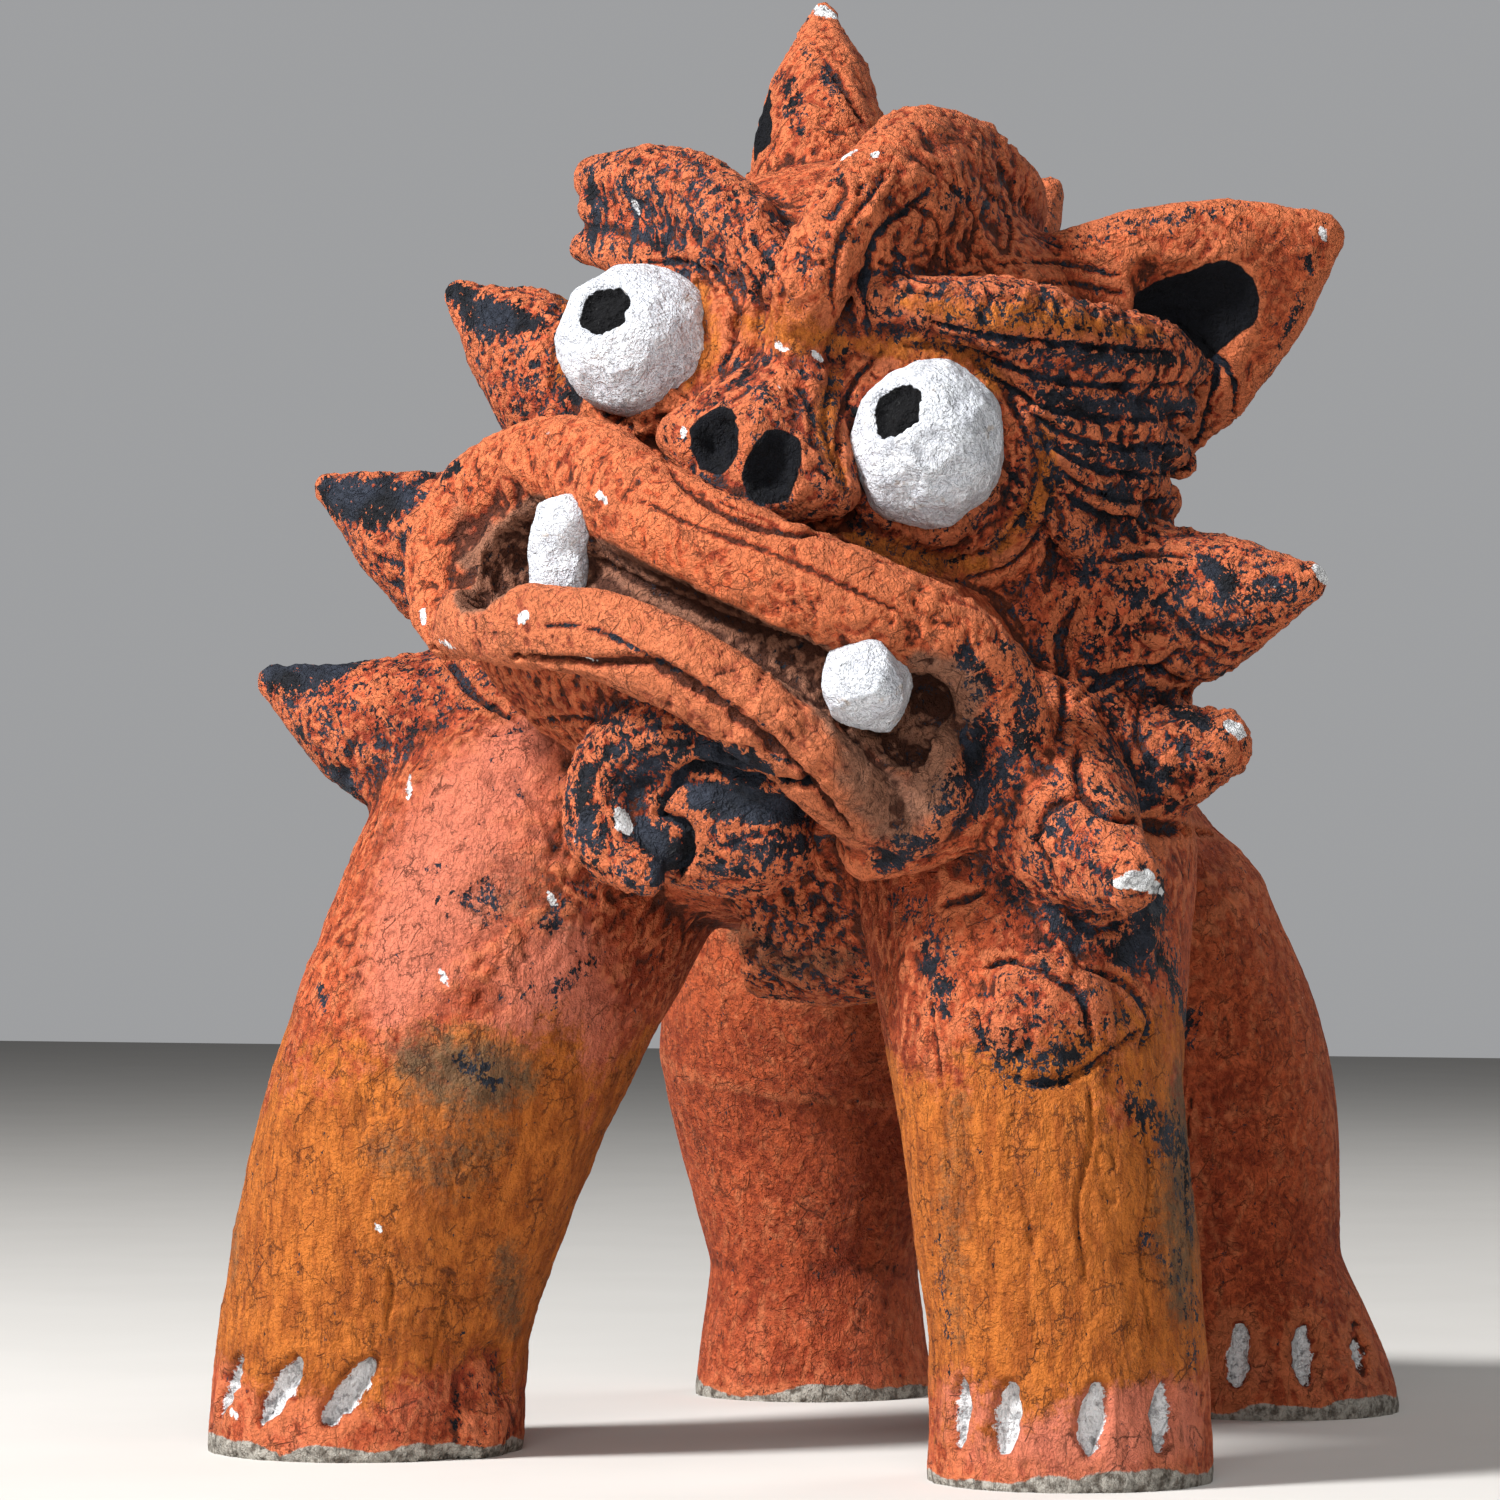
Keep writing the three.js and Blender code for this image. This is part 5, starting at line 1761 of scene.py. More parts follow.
@dataclass(frozen=True)
class Mane(Feature):
    """Two thick slabs down the sides of the head, with hooked tufts on them."""

    parting: float = 10.0
    radius: float = 24.0
    nape: tuple[float, float] = (15.0, 30.0)  # radius and length
    tip: float = 4.0
    side: tuple[tuple[str, Point, Point, float, float], ...] = (
        ("tuft_left_upper", (0.62, -0.04, 0.24), (1.22, -0.07, 0.51), 0.01, 1),
        ("tuft_left_middle", (0.64, -0.1, -0.04), (1.13, -0.14, 0.08), 0.06, 2),
        ("tuft_left_lower", (0.72, -0.3, -0.14), (1.2, -0.62, -0.24), 0, 1.6),
        ("tuft_right_upper", (-0.58, 0, 0.32), (-1.17, -0.1, 0.57), 0, 1),
        ("tuft_right_middle", (-0.68, -0.07, -0.06), (-1.32, -0.21, 0.01), 0.02, 1),
        ("tuft_right_lower", (-0.64, -0.12, -0.48), (-1.3, -0.27, -0.49), 0.04, 1),
    )

    MARKS = (
        # folds
        ((1.1, 1.4, "slate", 0.3), (1108, 560, 1150, 552, 1190, 556)),
        ((1.4, 2.2, "slate", 0.3), (1078, 700, 1110, 678, 1150, 672, 1186, 684)),
        ((1.1, 1.4, "slate", 0.3), (1120, 690, 1160, 668, 1180, 650)),
        ((1.3, 1.8, "slate", 0.3), (1078, 742, 1080, 790, 1108, 815, 1150, 822)),
        ((1, 1.2, "slate", 0.3), (1140, 700, 1138, 740, 1165, 775)),
        ((1.2, 1.6, "slate", 0.3), (1034, 842, 1046, 812, 1076, 795)),
        ((1.2, 1.5, "slate", 0.3), (1036, 842, 1050, 870, 1056, 888)),
        ((1.1, 1.4, "slate", 0.3), (940, 905, 960, 900, 985, 890)),
        ((1.1, 1.3, "slate", 0.3), (1060, 905, 1090, 930, 1120, 925)),
        ((1.5, 1.8, "slate", 0.3), (1075, 600, 1060, 640, 1066, 690, 1060, 740)),
        ((1.1, 1.2, "slate", 0.3), (1046, 590, 1052, 560, 1046, 530), (1160, 600, 1200, 640, 1225, 650)),
        ((1.6, 2.4, "slate", 0.3), (1120, 815, 1170, 830, 1210, 832)),
        ((2.4, 3, "slate", 0.3), (1185, 690, 1205, 705, 1215, 715)),
        ((1.3, 1.6, "slate", 0.3), (400, 640, 440, 652, 470, 690, 520, 722)),
        ((1.2, 1.2, "slate", 0.3), (490, 735, 560, 720, 620, 722)),
        # paint
        ((5, 0, "slate", 0.5), (1070, 530, 1090, 560, 1100, 600)),
        ((5.5, 0, "slate", 0.55), (1120, 590, 1160, 600, 1190, 580)),
        ((3.5, 0, "slate", 0.75), (1205, 560, 1225, 580, 1222, 600)),
        ((5, 0, "slate", 0.6), (1240, 600, 1275, 590, 1300, 585)),
        ((4, 0, "slate", 0.5), (1180, 620, 1230, 625, 1270, 620)),
        ((13, 0, "slate", 0.38), (1060, 520, 1110, 620, 1160, 560, 1220, 620)),
        ((12, 0, "slate", 0.3), (1080, 680, 1110, 770, 1180, 800)),
        ((4.5, 0, "slate", 0.58), (1110, 740, 1120, 770, 1150, 765)),
        ((4.5, 0, "slate", 0.62), (1165, 705, 1200, 720, 1225, 735)),
        ((5, 0, "slate", 0.55), (1100, 790, 1130, 800, 1170, 770)),
        ((2.5, 0, "slate", 0.6), (1040, 845, 1055, 825, 1075, 805)),
        ((4, 0, "slate", 0.5), (1075, 850, 1100, 870, 1120, 880)),
        ((6, 0, "slate", 0.8), (452, 290, 475, 310, 530, 325)),
        ((4, 0, "slate", 0.75), (470, 395, 482, 412)),
        ((7.5, 0, "slate", 0.8), (325, 490, 360, 500, 410, 495)),
        ((3.5, 0, "slate", 0.7), (425, 472, 460, 470)),
        ((9, 0, "slate", 0.85), (272, 668, 320, 668, 385, 655)),
        ((9, 0, "slate", 0.4), (290, 690, 330, 715, 350, 760)),
        ((5, 0, "slate", 0.75), (335, 770, 352, 795)),
        ((4, 0, "slate", 0.5), (560, 380, 580, 400)),
        # chipped tips
        ((2.4, -0.3, "white", 1), (1318, 568, 1326, 580), (1226, 724, 1243, 733),
         (1118, 884, 1140, 880, 1160, 892)),
    )

    def girth(self, radius: float, blunt: float = 1.0) -> Girth:
        """A tuft's radius from root to tip."""
        return (*swell(radius, (0, 1), (0.45, 0.75), (0.75, 0.48)), (1, self.tip * blunt))

    def lay(self, clay: Clay) -> None:
        """Lays the slabs and the tufts.

        Args:
            clay: The mass of clay.
        """
        place, mane = self.head.frame(), self.head.mane
        half = mane.radii[0]
        for node, side in (("mane_left", 1), ("mane_right", -1)):
            clay.lay(node, [HalfBall(mane, side, self.parting)], place)
            clay.style(node, Slot.RED, 0.8, 1.5, slate=0.34)
        for node, root, tip, sag, blunt in self.side:
            start, end = (Vector(mane.at) + Vector(away) * half for away in (root, tip))
            middle = start.lerp(end, 0.6) - Z_AXIS * sag * half
            clay.lay(node, [Coil((start, middle, end), self.girth(self.radius, blunt), 0.8, Y_AXIS)], place)
            clay.style(node, Slot.SLATE, 0.9, 1.1, slate=0.33)
        radius, length = self.nape
        for node, ball, azimuth, elevation in (
            ("tuft_nape_top", self.head.skull, 176, 38),
            ("tuft_nape_middle", self.head.skull, 180, 6),
            ("tuft_nape_left", mane, 140, 10),
            ("tuft_nape_right", mane, -140, 10),
        ):
            root = ball.point(azimuth, elevation, -radius / 2)
            outward = (ball.point(azimuth, elevation, 1) - ball.point(azimuth, elevation)).normalized()
            middle, end = root + outward * length * 0.6, root + outward * length + Z_AXIS * length / 3
            clay.lay(node, [Coil((root, middle, end), self.girth(radius))], place)
            clay.style(node, Slot.SLATE, 0.9, 1.1, slate=0.3)


@dataclass(frozen=True)
class Tail:
    """A flame-shaped curl that rises from the rump."""

    torso: Torso = Torso()
    length: float = 92.0
    radius: float = 17.0
    tip: float = 4.0
    path: Points = ((0, -0.08, 0), (0, 0.16, 0.25), (0.04, 0.16, 0.62), (-0.06, 0.02, 0.95))

    def lay(self, clay: Clay) -> None:
        """Lays the tail.

        Args:
            clay: The mass of clay.
        """
        root = Vector(self.torso.rump) + Vector((0, self.torso.flatness, 0.12)) * self.torso.half_widths[1]
        girth = (*swell(self.radius, (0, 0.8), (0.4, 1), (0.8, 0.6)), (1, self.tip))
        coil = Coil([root + Vector(p) * self.length for p in self.path], girth, 0.75, X_AXIS)
        clay.lay("tail", [coil], Matrix())
        clay.style("tail", Slot.SLATE, 0.9, 0.9, slate=0.32)


# Finishes


class Graph:
    """A node tree that is written as sums."""

    def __init__(self, tree: bpy.types.NodeTree) -> None:
        """Starts from a tree and reads its Object coordinates."""
        self.tree = tree
        self.space = self.add("ShaderNodeTexCoord").outputs["Object"]

    def add(self, kind: str, **settings: object) -> bpy.types.Node:
        """Adds a node and sets its properties.

        Args:
            kind: The node's type.
            **settings: Its properties, by name.

        Returns:
            The node.
        """
        node = self.tree.nodes.new(kind)
        for name, value in settings.items():
            setattr(node, name, value)
        return node

    def feed(self, socket: Socket, value: object) -> None:
        """Links a socket to an output, or sets it to a value.

        Args:
            socket: The socket.
            value: The output or the value.
        """
        if isinstance(value, Socket):
            self.tree.links.new(value, socket)
        else:
            socket.default_value = value

    def sum(self, kind: str, a: object, b: object = 0.0, clamp: bool = False) -> Socket:
        """One step of arithmetic, such as ADD or MULTIPLY.

        Args:
            kind: The step.
            a: The first value.
            b: The second value.
            clamp: Whether the result stays from 0 to 1.

        Returns:
            Its output.
        """
        node = self.add("ShaderNodeMath", operation=kind, use_clamp=clamp)
        self.feed(node.inputs[0], a)
        self.feed(node.inputs[1], b)
        return node.outputs[0]

    def total(self, *terms: tuple[object, float]) -> Socket:
        """Adds terms, each a value and its weight.

        Returns:
            Their sum.
        """
        result = None
        for value, weight in terms:
            term = self.sum("MULTIPLY", value, weight)
            result = term if result is None else self.sum("ADD", result, term)
        return result

    def ramp(self, value: object, low: float, high: float, out: Point = (0, 1)) -> Socket:
        """Goes smoothly from out[0] at low to out[1] at high.

        Args:
            value: What it follows.
            low: Where it starts.
            high: Where it ends.
            out: What it goes from and to.

        Returns:
            Its output.
        """
        node = self.add("ShaderNodeMapRange", interpolation_type="SMOOTHSTEP")
        for socket, given in zip(node.inputs, (value, low, high, *out)):
            self.feed(socket, given)
        return node.outputs[0]

    def ledges(self, value: object, steps: float) -> tuple[Socket, Socket]:
        """Breaks a value's slopes into steps, and also gives the thin line at the foot of each step.

        Args:
            value: The value.
            steps: How many steps there are from 0 to 1.

        Returns:
            The stepped value and the line.
        """
        scaled = self.sum("MULTIPLY", value, steps)
        part = self.sum("FRACT", scaled)
        height = self.total((self.sum("FLOOR", scaled), 1 / steps), (self.ramp(part, 0.4, 0.6), 1 / steps))
        foot = self.sum("MULTIPLY", self.ramp(part, 0.22, 0.38), self.ramp(part, 0.52, 0.42))
        return height, foot

    def mix(self, share: object, a: object, b: object, blend: str = "MIX") -> Socket:
        """Mixes two colours.

        Args:
            share: How much there is of the second.
            a: The first colour.
            b: The second.
            blend: How they are mixed.

        Returns:
            Their mix.
        """
        node = self.add("ShaderNodeMix", data_type="RGBA", blend_type=blend)
        for socket, given in zip((node.inputs[0], node.inputs[6], node.inputs[7]), (share, a, b)):
            self.feed(socket, given)
        return node.outputs[2]

    def noise(self, size: float, detail: float, stretch: Point = (1, 1, 1), **given: float) -> Socket:
        """Noise with lumps of a size in mm.

        Args:
            size: The size.
            detail: How many finer layers it has.
            stretch: How often it repeats along each axis.
            **given: Other inputs of the node.

        Returns:
            Its output.
        """
        move = self.add("ShaderNodeMapping")
        self.feed(move.inputs["Vector"], self.space)
        move.inputs["Scale"].default_value = stretch
        node = self.add("ShaderNodeTexNoise")
        self.feed(node.inputs["Vector"], move.outputs[0])
        self.feed(node.inputs["Scale"], 1 / (size * MM))
        self.feed(node.inputs["Detail"], detail)
        for name, value in given.items():
            self.feed(node.inputs[name], value)
        return node.outputs["Fac"]

    def cells(self, size: float, wobble: object) -> Socket:
        """Distance to the edges of cells of a size in mm, bent by a wobble.

        Args:
            size: The size.
            wobble: A noise that bends the cells.

        Returns:
            The distance.
        """
        bend = self.add("ShaderNodeVectorMath", operation="MULTIPLY_ADD")
        self.feed(bend.inputs[0], wobble)
        bend.inputs[1].default_value = (size * MM * 0.9,) * 3
        self.feed(bend.inputs[2], self.space)
        node = self.add("ShaderNodeTexVoronoi", feature="DISTANCE_TO_EDGE")
        self.feed(node.inputs["Vector"], bend.outputs[0])
        self.feed(node.inputs["Scale"], 1 / (size * MM))
        return node.outputs["Distance"]

    def held(self, paint: Paint) -> Socket:
        """What the mesh carries of a paint."""
        return self.add("ShaderNodeAttribute", attribute_name=paint.value).outputs["Fac"]


@dataclass(frozen=True)
class ClayFinish:
    """How the fired clay of one slot looks.

    Attributes:
        slot: The record's slot.
        deep: Its darkest colour.
        bright: Its lightest colour.
        slate: More or less slate glaze than the mesh carries.
        dust: More or less dust than the mesh carries.
    """

    slot: Slot
    deep: Point
    bright: Point
    slate: float = 0.0
    dust: float = 0.0


class Dresser:
    """Makes the materials and puts them on the pieces."""

    FINISHES = (
        ClayFinish(Slot.RED, (0.25, 0.034, 0.012), (0.62, 0.126, 0.043)),
        ClayFinish(Slot.OCHRE, (0.24, 0.034, 0.011), (0.54, 0.105, 0.034)),
        ClayFinish(Slot.SLATE, (0.22, 0.030, 0.012), (0.57, 0.108, 0.040), 0.02),
        ClayFinish(Slot.DUSTY, (0.24, 0.046, 0.020), (0.56, 0.140, 0.062), 0.0, 0.03),
    )

    # Colours, as one or as the darkest and the lightest
    # painted highlight on the convex ridges
    RIDGE_HIGHLIGHT = (0.74, 0.225, 0.09, 1)
    SALMON = (0.60, 0.175, 0.105, 1)
    DUST = (0.235, 0.118, 0.074, 1)
    # dark smudges, partly painted shade and shadow
    SMOKE = (0.085, 0.075, 0.045, 1)
    # dark of the real cracks and hairlines, and the painted shade in hollows and creases
    CRACK_AND_SHADE = (0.05, 0.014, 0.007, 1)
    # near-black of the ear hollows and nostrils: black paint and painted shade
    PIT_BLACK_AND_SHADE = (0.004, 0.0045, 0.007, 1)
    OCHRES = (0.31, 0.075, 0.011, 1), (0.54, 0.155, 0.024, 1)
    SLATES = (0.004, 0.005, 0.008, 1), (0.024, 0.030, 0.046, 1)
    CHALKS = (0.36, 0.36, 0.37, 1), (0.80, 0.81, 0.82, 1)
    STONES = (0.12, 0.10, 0.08, 1), (0.42, 0.39, 0.34, 1)
    WHITES = (0.66, 0.68, 0.74, 1), (0.82, 0.85, 0.90, 1)
    GRIME = (0.22, 0.19, 0.17, 1)
    STAIN = (0.42, 0.30, 0.20, 1)
    BLACKS = (0.003, 0.003, 0.004, 1), (0.03, 0.03, 0.03, 1)
    SHINE = 0.22  # specular level of fired clay and plaster
    BUMP = 2.0  # mm between the bump's low and high

    def __init__(self) -> None:
        """Makes every material."""
        self.shared = self._fired_clay()
        self.materials = {finish.slot: self._clay(finish) for finish in self.FINISHES}
        self.materials[Slot.WHITE] = self._plaster()

    def _fired_clay(self) -> bpy.types.NodeTree:
        """The group that all the clays use: their colour, roughness and height.

        Returns:
            The group.
        """
        tree = bpy.data.node_groups.new("fired_clay", "ShaderNodeTree")
        for way, kind, names in (
            ("INPUT", "Color", ("Deep", "Bright")), ("INPUT", "Float", ("Slate", "Dust")),
            ("OUTPUT", "Color", ("Color",)), ("OUTPUT", "Float", ("Roughness", "Height")),
        ):
            for name in names:
                tree.interface.new_socket(name, in_out=way, socket_type="NodeSocket" + kind)
        g = Graph(tree)
        given, result = g.add("NodeGroupInput").outputs, g.add("NodeGroupOutput").inputs
        broad, mid = g.noise(34, 3), g.noise(7.5, 4)
        small, fine = g.noise(2.2, 4, Roughness=0.65), g.noise(0.7, 3, Roughness=0.7)
        torn, foot = g.ledges(g.noise(5.5, 4, (1, 1, 0.6), Roughness=0.55, Distortion=0.7), 7)
        crust, rim = g.ledges(g.noise(2.6, 4, Roughness=0.6, Distortion=0.4), 6)
        crack = g.ramp(g.cells(5.5, g.noise(2.5, 4, Roughness=0.7)), 0.0, 0.035, (1, 0))
        crack = g.sum("MULTIPLY", crack, g.ramp(mid, 0.5, 0.58))
        # groove: hollows and creases, which are darkened below as painted shade
        cavity = g.held(Paint.CAVITY)
        groove = g.ramp(g.total((cavity, 1), (small, 0.25)), 0.68, 1.04)
        ridge = g.ramp(g.total((cavity, 1), (small, 0.2)), 0.54, 0.3)

        tone = g.ramp(g.total((broad, 0.4), (mid, 0.45), (small, 0.7), (fine, 0.2), (torn, 0.3)), 0.86, 1.18)
        colour = g.mix(tone, given["Deep"], given["Bright"])
        # Painted highlight: the convex ridges are lightened towards a bright orange.
        colour = g.mix(g.sum("MULTIPLY", ridge, 0.5), colour, self.RIDGE_HIGHLIGHT)
        salmon = g.total((g.held(Paint.SALMON), 1), (mid, 0.8), (small, 0.6))
        colour = g.mix(g.ramp(salmon, 0.75, 1.6, (0, 0.9)), colour, self.SALMON)
        streak = g.noise(3, 5, (1, 1, 0.3), Roughness=0.65)
        ochre = g.mix(g.ramp(streak, 0.34, 0.64), *self.OCHRES)
        hold = g.total((g.held(Paint.OCHRE), 0.8), (small, 0.9), (mid, 0.6), (fine, 0.3))
        colour = g.mix(g.ramp(hold, 1.12, 1.5), colour, ochre)
        dust = g.sum("ADD", g.held(Paint.DUST), given["Dust"])
        dusted = g.ramp(g.total((dust, 1), (mid, 0.5), (fine, 0.3)), 0.4, 1.15, (0, 0.85))
        colour = g.mix(dusted, colour, self.DUST)
        # Dark smudges: partly painted shadow under the belly and painted shade down the left foreleg's right
        # edge.
        smudge_and_shade = g.ramp(g.total((g.held(Paint.SMOKE), 0.7), (small, 0.7), (fine, 0.5)), 0.72, 1.2, (0, 0.8))
        colour = g.mix(smudge_and_shade, colour, self.SMOKE)
        lines = g.total((foot, 0.3), (rim, 0.12))
        lines = g.sum("MULTIPLY", lines, g.ramp(g.total((mid, 0.6), (small, 0.6)), 0.52, 0.72, (0.1, 1)))
        calm = g.total((g.held(Paint.OCHRE), 1), (g.held(Paint.SALMON), 1), (g.held(Paint.SMOKE), 0.5))
        calm = g.ramp(calm, 0.05, 0.6, (1, 0.12))
        lines = g.sum("MULTIPLY", lines, calm)
        hair = g.noise(2.4, 5, (1, 1, 0.16), Roughness=0.6, Distortion=0.5)
        hair = g.ramp(g.sum("ABSOLUTE", g.sum("SUBTRACT", hair, 0.5), 0.0), 0.0, 0.012, (1, 0))
        hair = g.sum("MULTIPLY", hair, g.ramp(calm, 0.9, 0.3, (0, 0.75)))
        lines = g.sum("MAXIMUM", lines, g.sum("MULTIPLY", hair, g.ramp(mid, 0.42, 0.6)))
        # Painted shade: the hollows (groove) are darkened together with the real cracks and hairlines.
        groove = g.sum("MULTIPLY", groove, g.ramp(calm, 0.12, 1, (0.3, 0.9)))
        dark = g.sum("MAXIMUM", groove, g.sum("MAXIMUM", lines, g.sum("MULTIPLY", crack, 0.7)))
        colour = g.mix(dark, colour, self.CRACK_AND_SHADE)

        brushed = g.noise(3.0, 6, (1, 1, 0.75), Roughness=0.7, Distortion=0.4)
        speck = g.noise(1.15, 4, (1, 1, 0.8), Roughness=0.6, Distortion=0.9)
        glaze = (g.held(Paint.SLATE), 1), (given["Slate"], 1), (brushed, 1.5), (speck, 1.4)
        cover = g.total(*glaze, (cavity, 0.2), (foot, 0.1), (rim, 0.1))
        glazed = g.ramp(cover, 1.96, 2.02)
        blue = g.mix(g.ramp(mid, 0.35, 0.65), *self.SLATES)
        colour = g.mix(glazed, colour, blue)
        # The walls of the ear hollows and nostrils go near-black: black paint, deepened into painted shade of
        # the deep hollows.
        pit = g.ramp(g.total((g.held(Paint.PIT), 1), (small, 0.4)), 0.6, 0.74)
        colour = g.mix(pit, colour, self.PIT_BLACK_AND_SHADE)

        fleck = g.ramp(g.total((g.noise(3.4, 2, Roughness=0.6), 1), (broad, 0.25)), 0.92, 0.95, (0, 0.8))
        white = g.ramp(g.total((g.held(Paint.WHITE), 1), (small, 0.8), (fine, 0.7)), 1.22, 1.36)
        white = g.sum("MAXIMUM", white, fleck)
        chalk = g.mix(g.ramp(small, 0.36, 0.5), *self.CHALKS)
        colour = g.mix(white, colour, chalk)
        raw = g.ramp(g.total((g.held(Paint.RAW), 1), (small, 0.6), (mid, 0.3)), 0.85, 1.05)
        stone = g.mix(g.ramp(small, 0.35, 0.6), *self.STONES)
        colour = g.mix(raw, colour, stone)
        g.feed(result["Color"], colour)

        sheen = g.total((glazed, -0.22), (pit, 0.2), (small, 0.12))
        g.feed(result["Roughness"], g.sum("ADD", sheen, 0.80, True))
        flakes = g.sum("MULTIPLY", g.total((torn, 1.9), (crust, 1.4)), g.ramp(calm, 0.12, 1, (0.35, 1)))
        height = g.total((mid, 0.3), (flakes, 1), (small, 0.75), (fine, 0.34), (crack, -0.2), (hair, -0.15))
        g.feed(result["Height"], height)
        return tree

    def _material(self, name: str) -> tuple[bpy.types.Material, Graph, bpy.types.Node]:
        """Makes a material with its shader.

        Args:
            name: The material's name.

        Returns:
            The material, its graph and its shader.
        """
        material = bpy.data.materials.new(name)
        material.use_nodes = True
        graph = Graph(material.node_tree)
        shader = material.node_tree.nodes["Principled BSDF"]
        shader.inputs["Specular IOR Level"].default_value = self.SHINE
        return material, graph, shader

    def _finish(
        self, graph: Graph, shader: bpy.types.Node, colour: object, rough: object, height: object
    ) -> None:
        """Feeds a shader its colour, its roughness and its bump.

        Args:
            graph: The material's graph.
            shader: Its shader.
            colour: The colour.
            rough: The roughness.
            height: The height, which bumps it.
        """
        bump = graph.add("ShaderNodeBump")
        bump.inputs["Strength"].default_value = 1.0
        bump.inputs["Distance"].default_value = self.BUMP * MM
        graph.feed(bump.inputs["Height"], height)
        graph.feed(shader.inputs["Base Color"], colour)
        graph.feed(shader.inputs["Roughness"], rough)
        graph.feed(shader.inputs["Normal"], bump.outputs[0])

    def _clay(self, finish: ClayFinish) -> bpy.types.Material:
        """Makes the clay of one slot.

        Args:
            finish: The finish.

        Returns:
            The material.
        """
        material, graph, shader = self._material(finish.slot.value)
        group = graph.add("ShaderNodeGroup", node_tree=self.shared)
        graph.feed(group.inputs["Deep"], (*finish.deep, 1))
        graph.feed(group.inputs["Bright"], (*finish.bright, 1))
        graph.feed(group.inputs["Slate"], finish.slate)
        graph.feed(group.inputs["Dust"], finish.dust)
        out = group.outputs
        self._finish(graph, shader, out["Color"], out["Roughness"], out["Height"])
        return material

    def _plaster(self) -> bpy.types.Material:
        """Makes the crumpled white of the eyes and fangs.

        Returns:
            The material.
        """
        material, g, shader = self._material(Slot.WHITE.value)
        mid, small, fine = g.noise(5, 4), g.noise(1.5, 4, Roughness=0.65), g.noise(0.5, 3)
        fold, foot = g.ledges(g.noise(6, 4, Roughness=0.55, Distortion=0.9), 8)
        crust, rim = g.ledges(g.noise(2.6, 4, Roughness=0.6, Distortion=0.6), 6)
        tone = g.ramp(g.total((mid, 0.5), (small, 0.5)), 0.4, 0.6)
        colour = g.mix(tone, *self.WHITES)
        lines = g.sum("MULTIPLY", g.total((foot, 0.14), (rim, 0.04)), g.ramp(mid, 0.45, 0.6))
        colour = g.mix(lines, colour, self.GRIME)
        stain = g.ramp(g.total((g.noise(4.2, 4), 1), (small, 0.3)), 0.78, 0.88, (0, 0.55))
        colour = g.mix(stain, colour, self.STAIN)
        # The pierced pupils go near-black: black paint, deepened into painted shade of the hole.
        pit = g.ramp(g.total((g.held(Paint.PIT), 1), (small, 0.35)), 0.5, 0.6)
        black = g.mix(g.ramp(fine, 0.64, 0.7), *self.BLACKS)
        colour = g.mix(pit, colour, black)
        height = g.total((mid, 0.4), (fold, 1.7), (crust, 1.4), (small, 0.8), (fine, 0.3))
        self._finish(g, shader, colour, g.ramp(pit, 0, 1, (0.78, 0.92)), height)
        return material

    def fit(self, made: Object, node: str, slot: Slot) -> None:
        """Puts a piece in the place of its node and dresses it.

        Args:
            made: The piece.
            node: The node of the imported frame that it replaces.
            slot: Its material slot in the record.
        """
        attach(made, "root")
        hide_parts(node)
        made.data.materials.append(self.materials[slot])


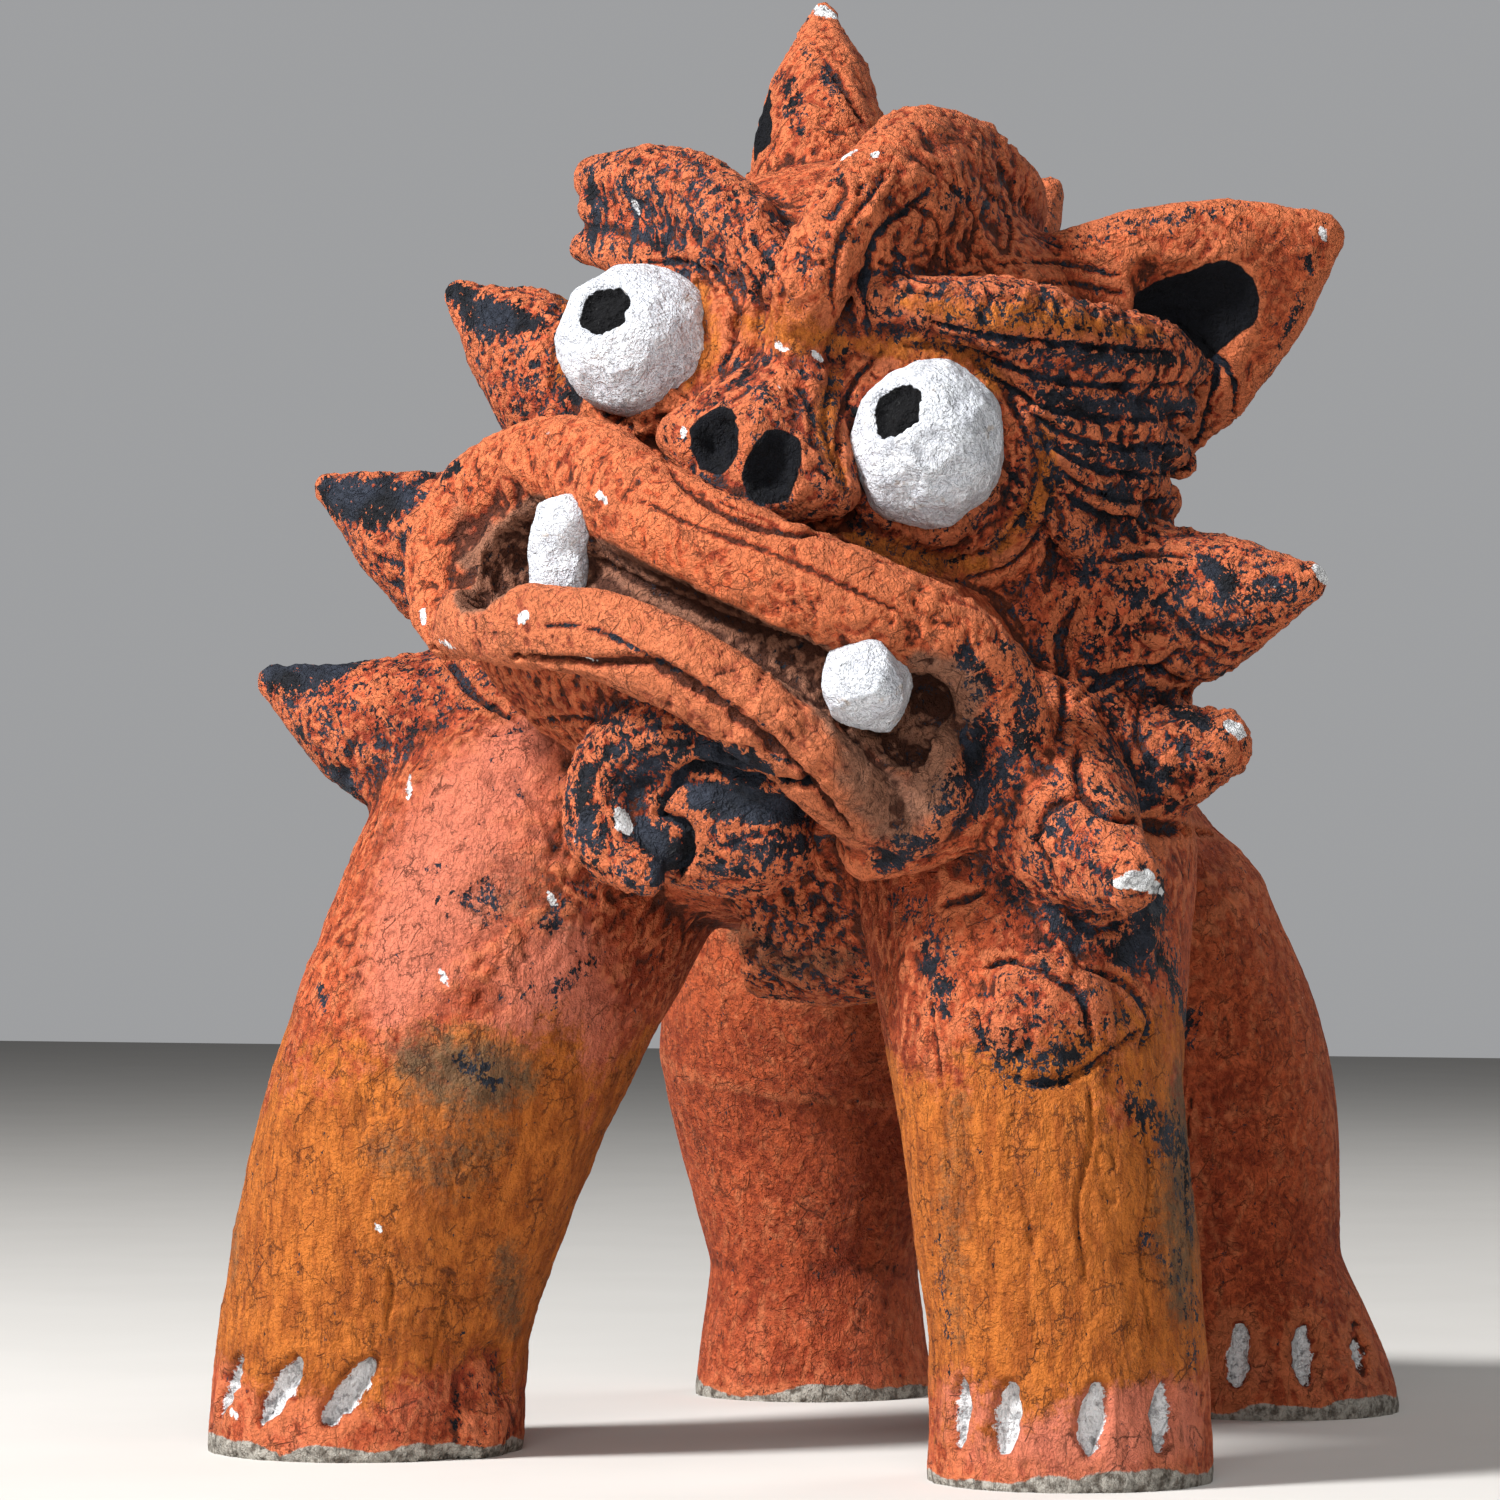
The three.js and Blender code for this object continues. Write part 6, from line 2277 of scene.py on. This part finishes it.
@dataclass(frozen=True)
class Studio:
    """A plain pale floor and soft light from the upper left."""

    floor: float = 6.0
    sky: tuple[float, float] = (0.11, 0.42)  # as light, and as it is seen
    lights: tuple[tuple[str, Point, float, float], ...] = (
        ("key", (-0.75, -1.08, 1.25), 0.34, 54.0),
        ("fill", (0.6, -1.5, 0.7), 1.0, 11.0),
        ("back", (0.7, 1.3, 1.1), 0.9, 9.0),
    )

    def build(self) -> None:
        """Makes the floor, the lights and the sky."""
        bm = bmesh.new()
        bmesh.ops.create_grid(bm, x_segments=8, y_segments=8, size=self.floor / 2)
        mesh = bpy.data.meshes.new("floor")
        bm.to_mesh(mesh)
        bm.free()
        material = bpy.data.materials.new("pale_floor")
        material.use_nodes = True
        graph = Graph(material.node_tree)
        shader = material.node_tree.nodes["Principled BSDF"]
        pale = graph.mix(graph.noise(60, 4), (0.60, 0.58, 0.55, 1), (0.66, 0.64, 0.61, 1))
        graph.feed(shader.inputs["Base Color"], pale)
        shader.inputs["Roughness"].default_value = 0.8
        mesh.materials.append(material)
        show("floor", mesh)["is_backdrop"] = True
        for name, place, size, power in self.lights:
            data = bpy.data.lights.new(name, "AREA")
            data.shape, data.size, data.energy = "DISK", size, power
            light = show(name, data)
            light.location = place
            light.rotation_euler = (Vector((0, 0, 0.16)) - Vector(place)).to_track_quat("-Z", "Y").to_euler()
        world = bpy.data.worlds.new("studio")
        world.use_nodes = True
        sky = Graph(world.node_tree)
        seen = sky.add("ShaderNodeLightPath").outputs["Is Camera Ray"]
        backdrop = world.node_tree.nodes["Background"].inputs
        backdrop["Color"].default_value = (0.82, 0.83, 0.85, 1)
        sky.feed(backdrop["Strength"], sky.ramp(seen, 0, 1, self.sky))
        bpy.context.scene.world = world
        bpy.context.scene.view_settings.view_transform = "Standard"


def corners() -> list[list[float]]:
    """The box of the shown object, as lists of numbers."""
    return [list(corner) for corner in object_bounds()]


def main() -> None:
    """Builds the figure piece by piece."""
    logging.basicConfig(level=logging.INFO, format="%(name)s: %(message)s", stream=sys.stdout)
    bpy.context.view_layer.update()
    view = View()
    view.set_up()
    Studio().build()
    dress = Dresser()
    clay = Clay()
    torso, legs, head = Torso(), Legs(), Head()
    mouth, nose, brows, crest = Mouth(head), Nose(head), Brows(head), Crest(head)
    ears, eyes, beard, mane, tail = Ears(head), Eyes(head), Beard(head), Mane(head), Tail(torso)
    for part in (torso, legs, head, mouth, nose, brows, crest, ears, eyes, beard, mane, tail):
        part.lay(clay)
        log.info("laid %s", type(part).__name__)
    clay.fuse()
    clay.smear()
    clay.weather()
    marked = (legs, mouth, nose, brows, crest, ears, eyes, beard, mane)
    clay.mark([stroke for part in marked for stroke in part.marks()], view)
    clay.settle()
    clay.stain()
    clay.part(dress)
    eyes.build(dress)
    Fangs(head).build(dress)


if __name__ == "__main__":
    main()
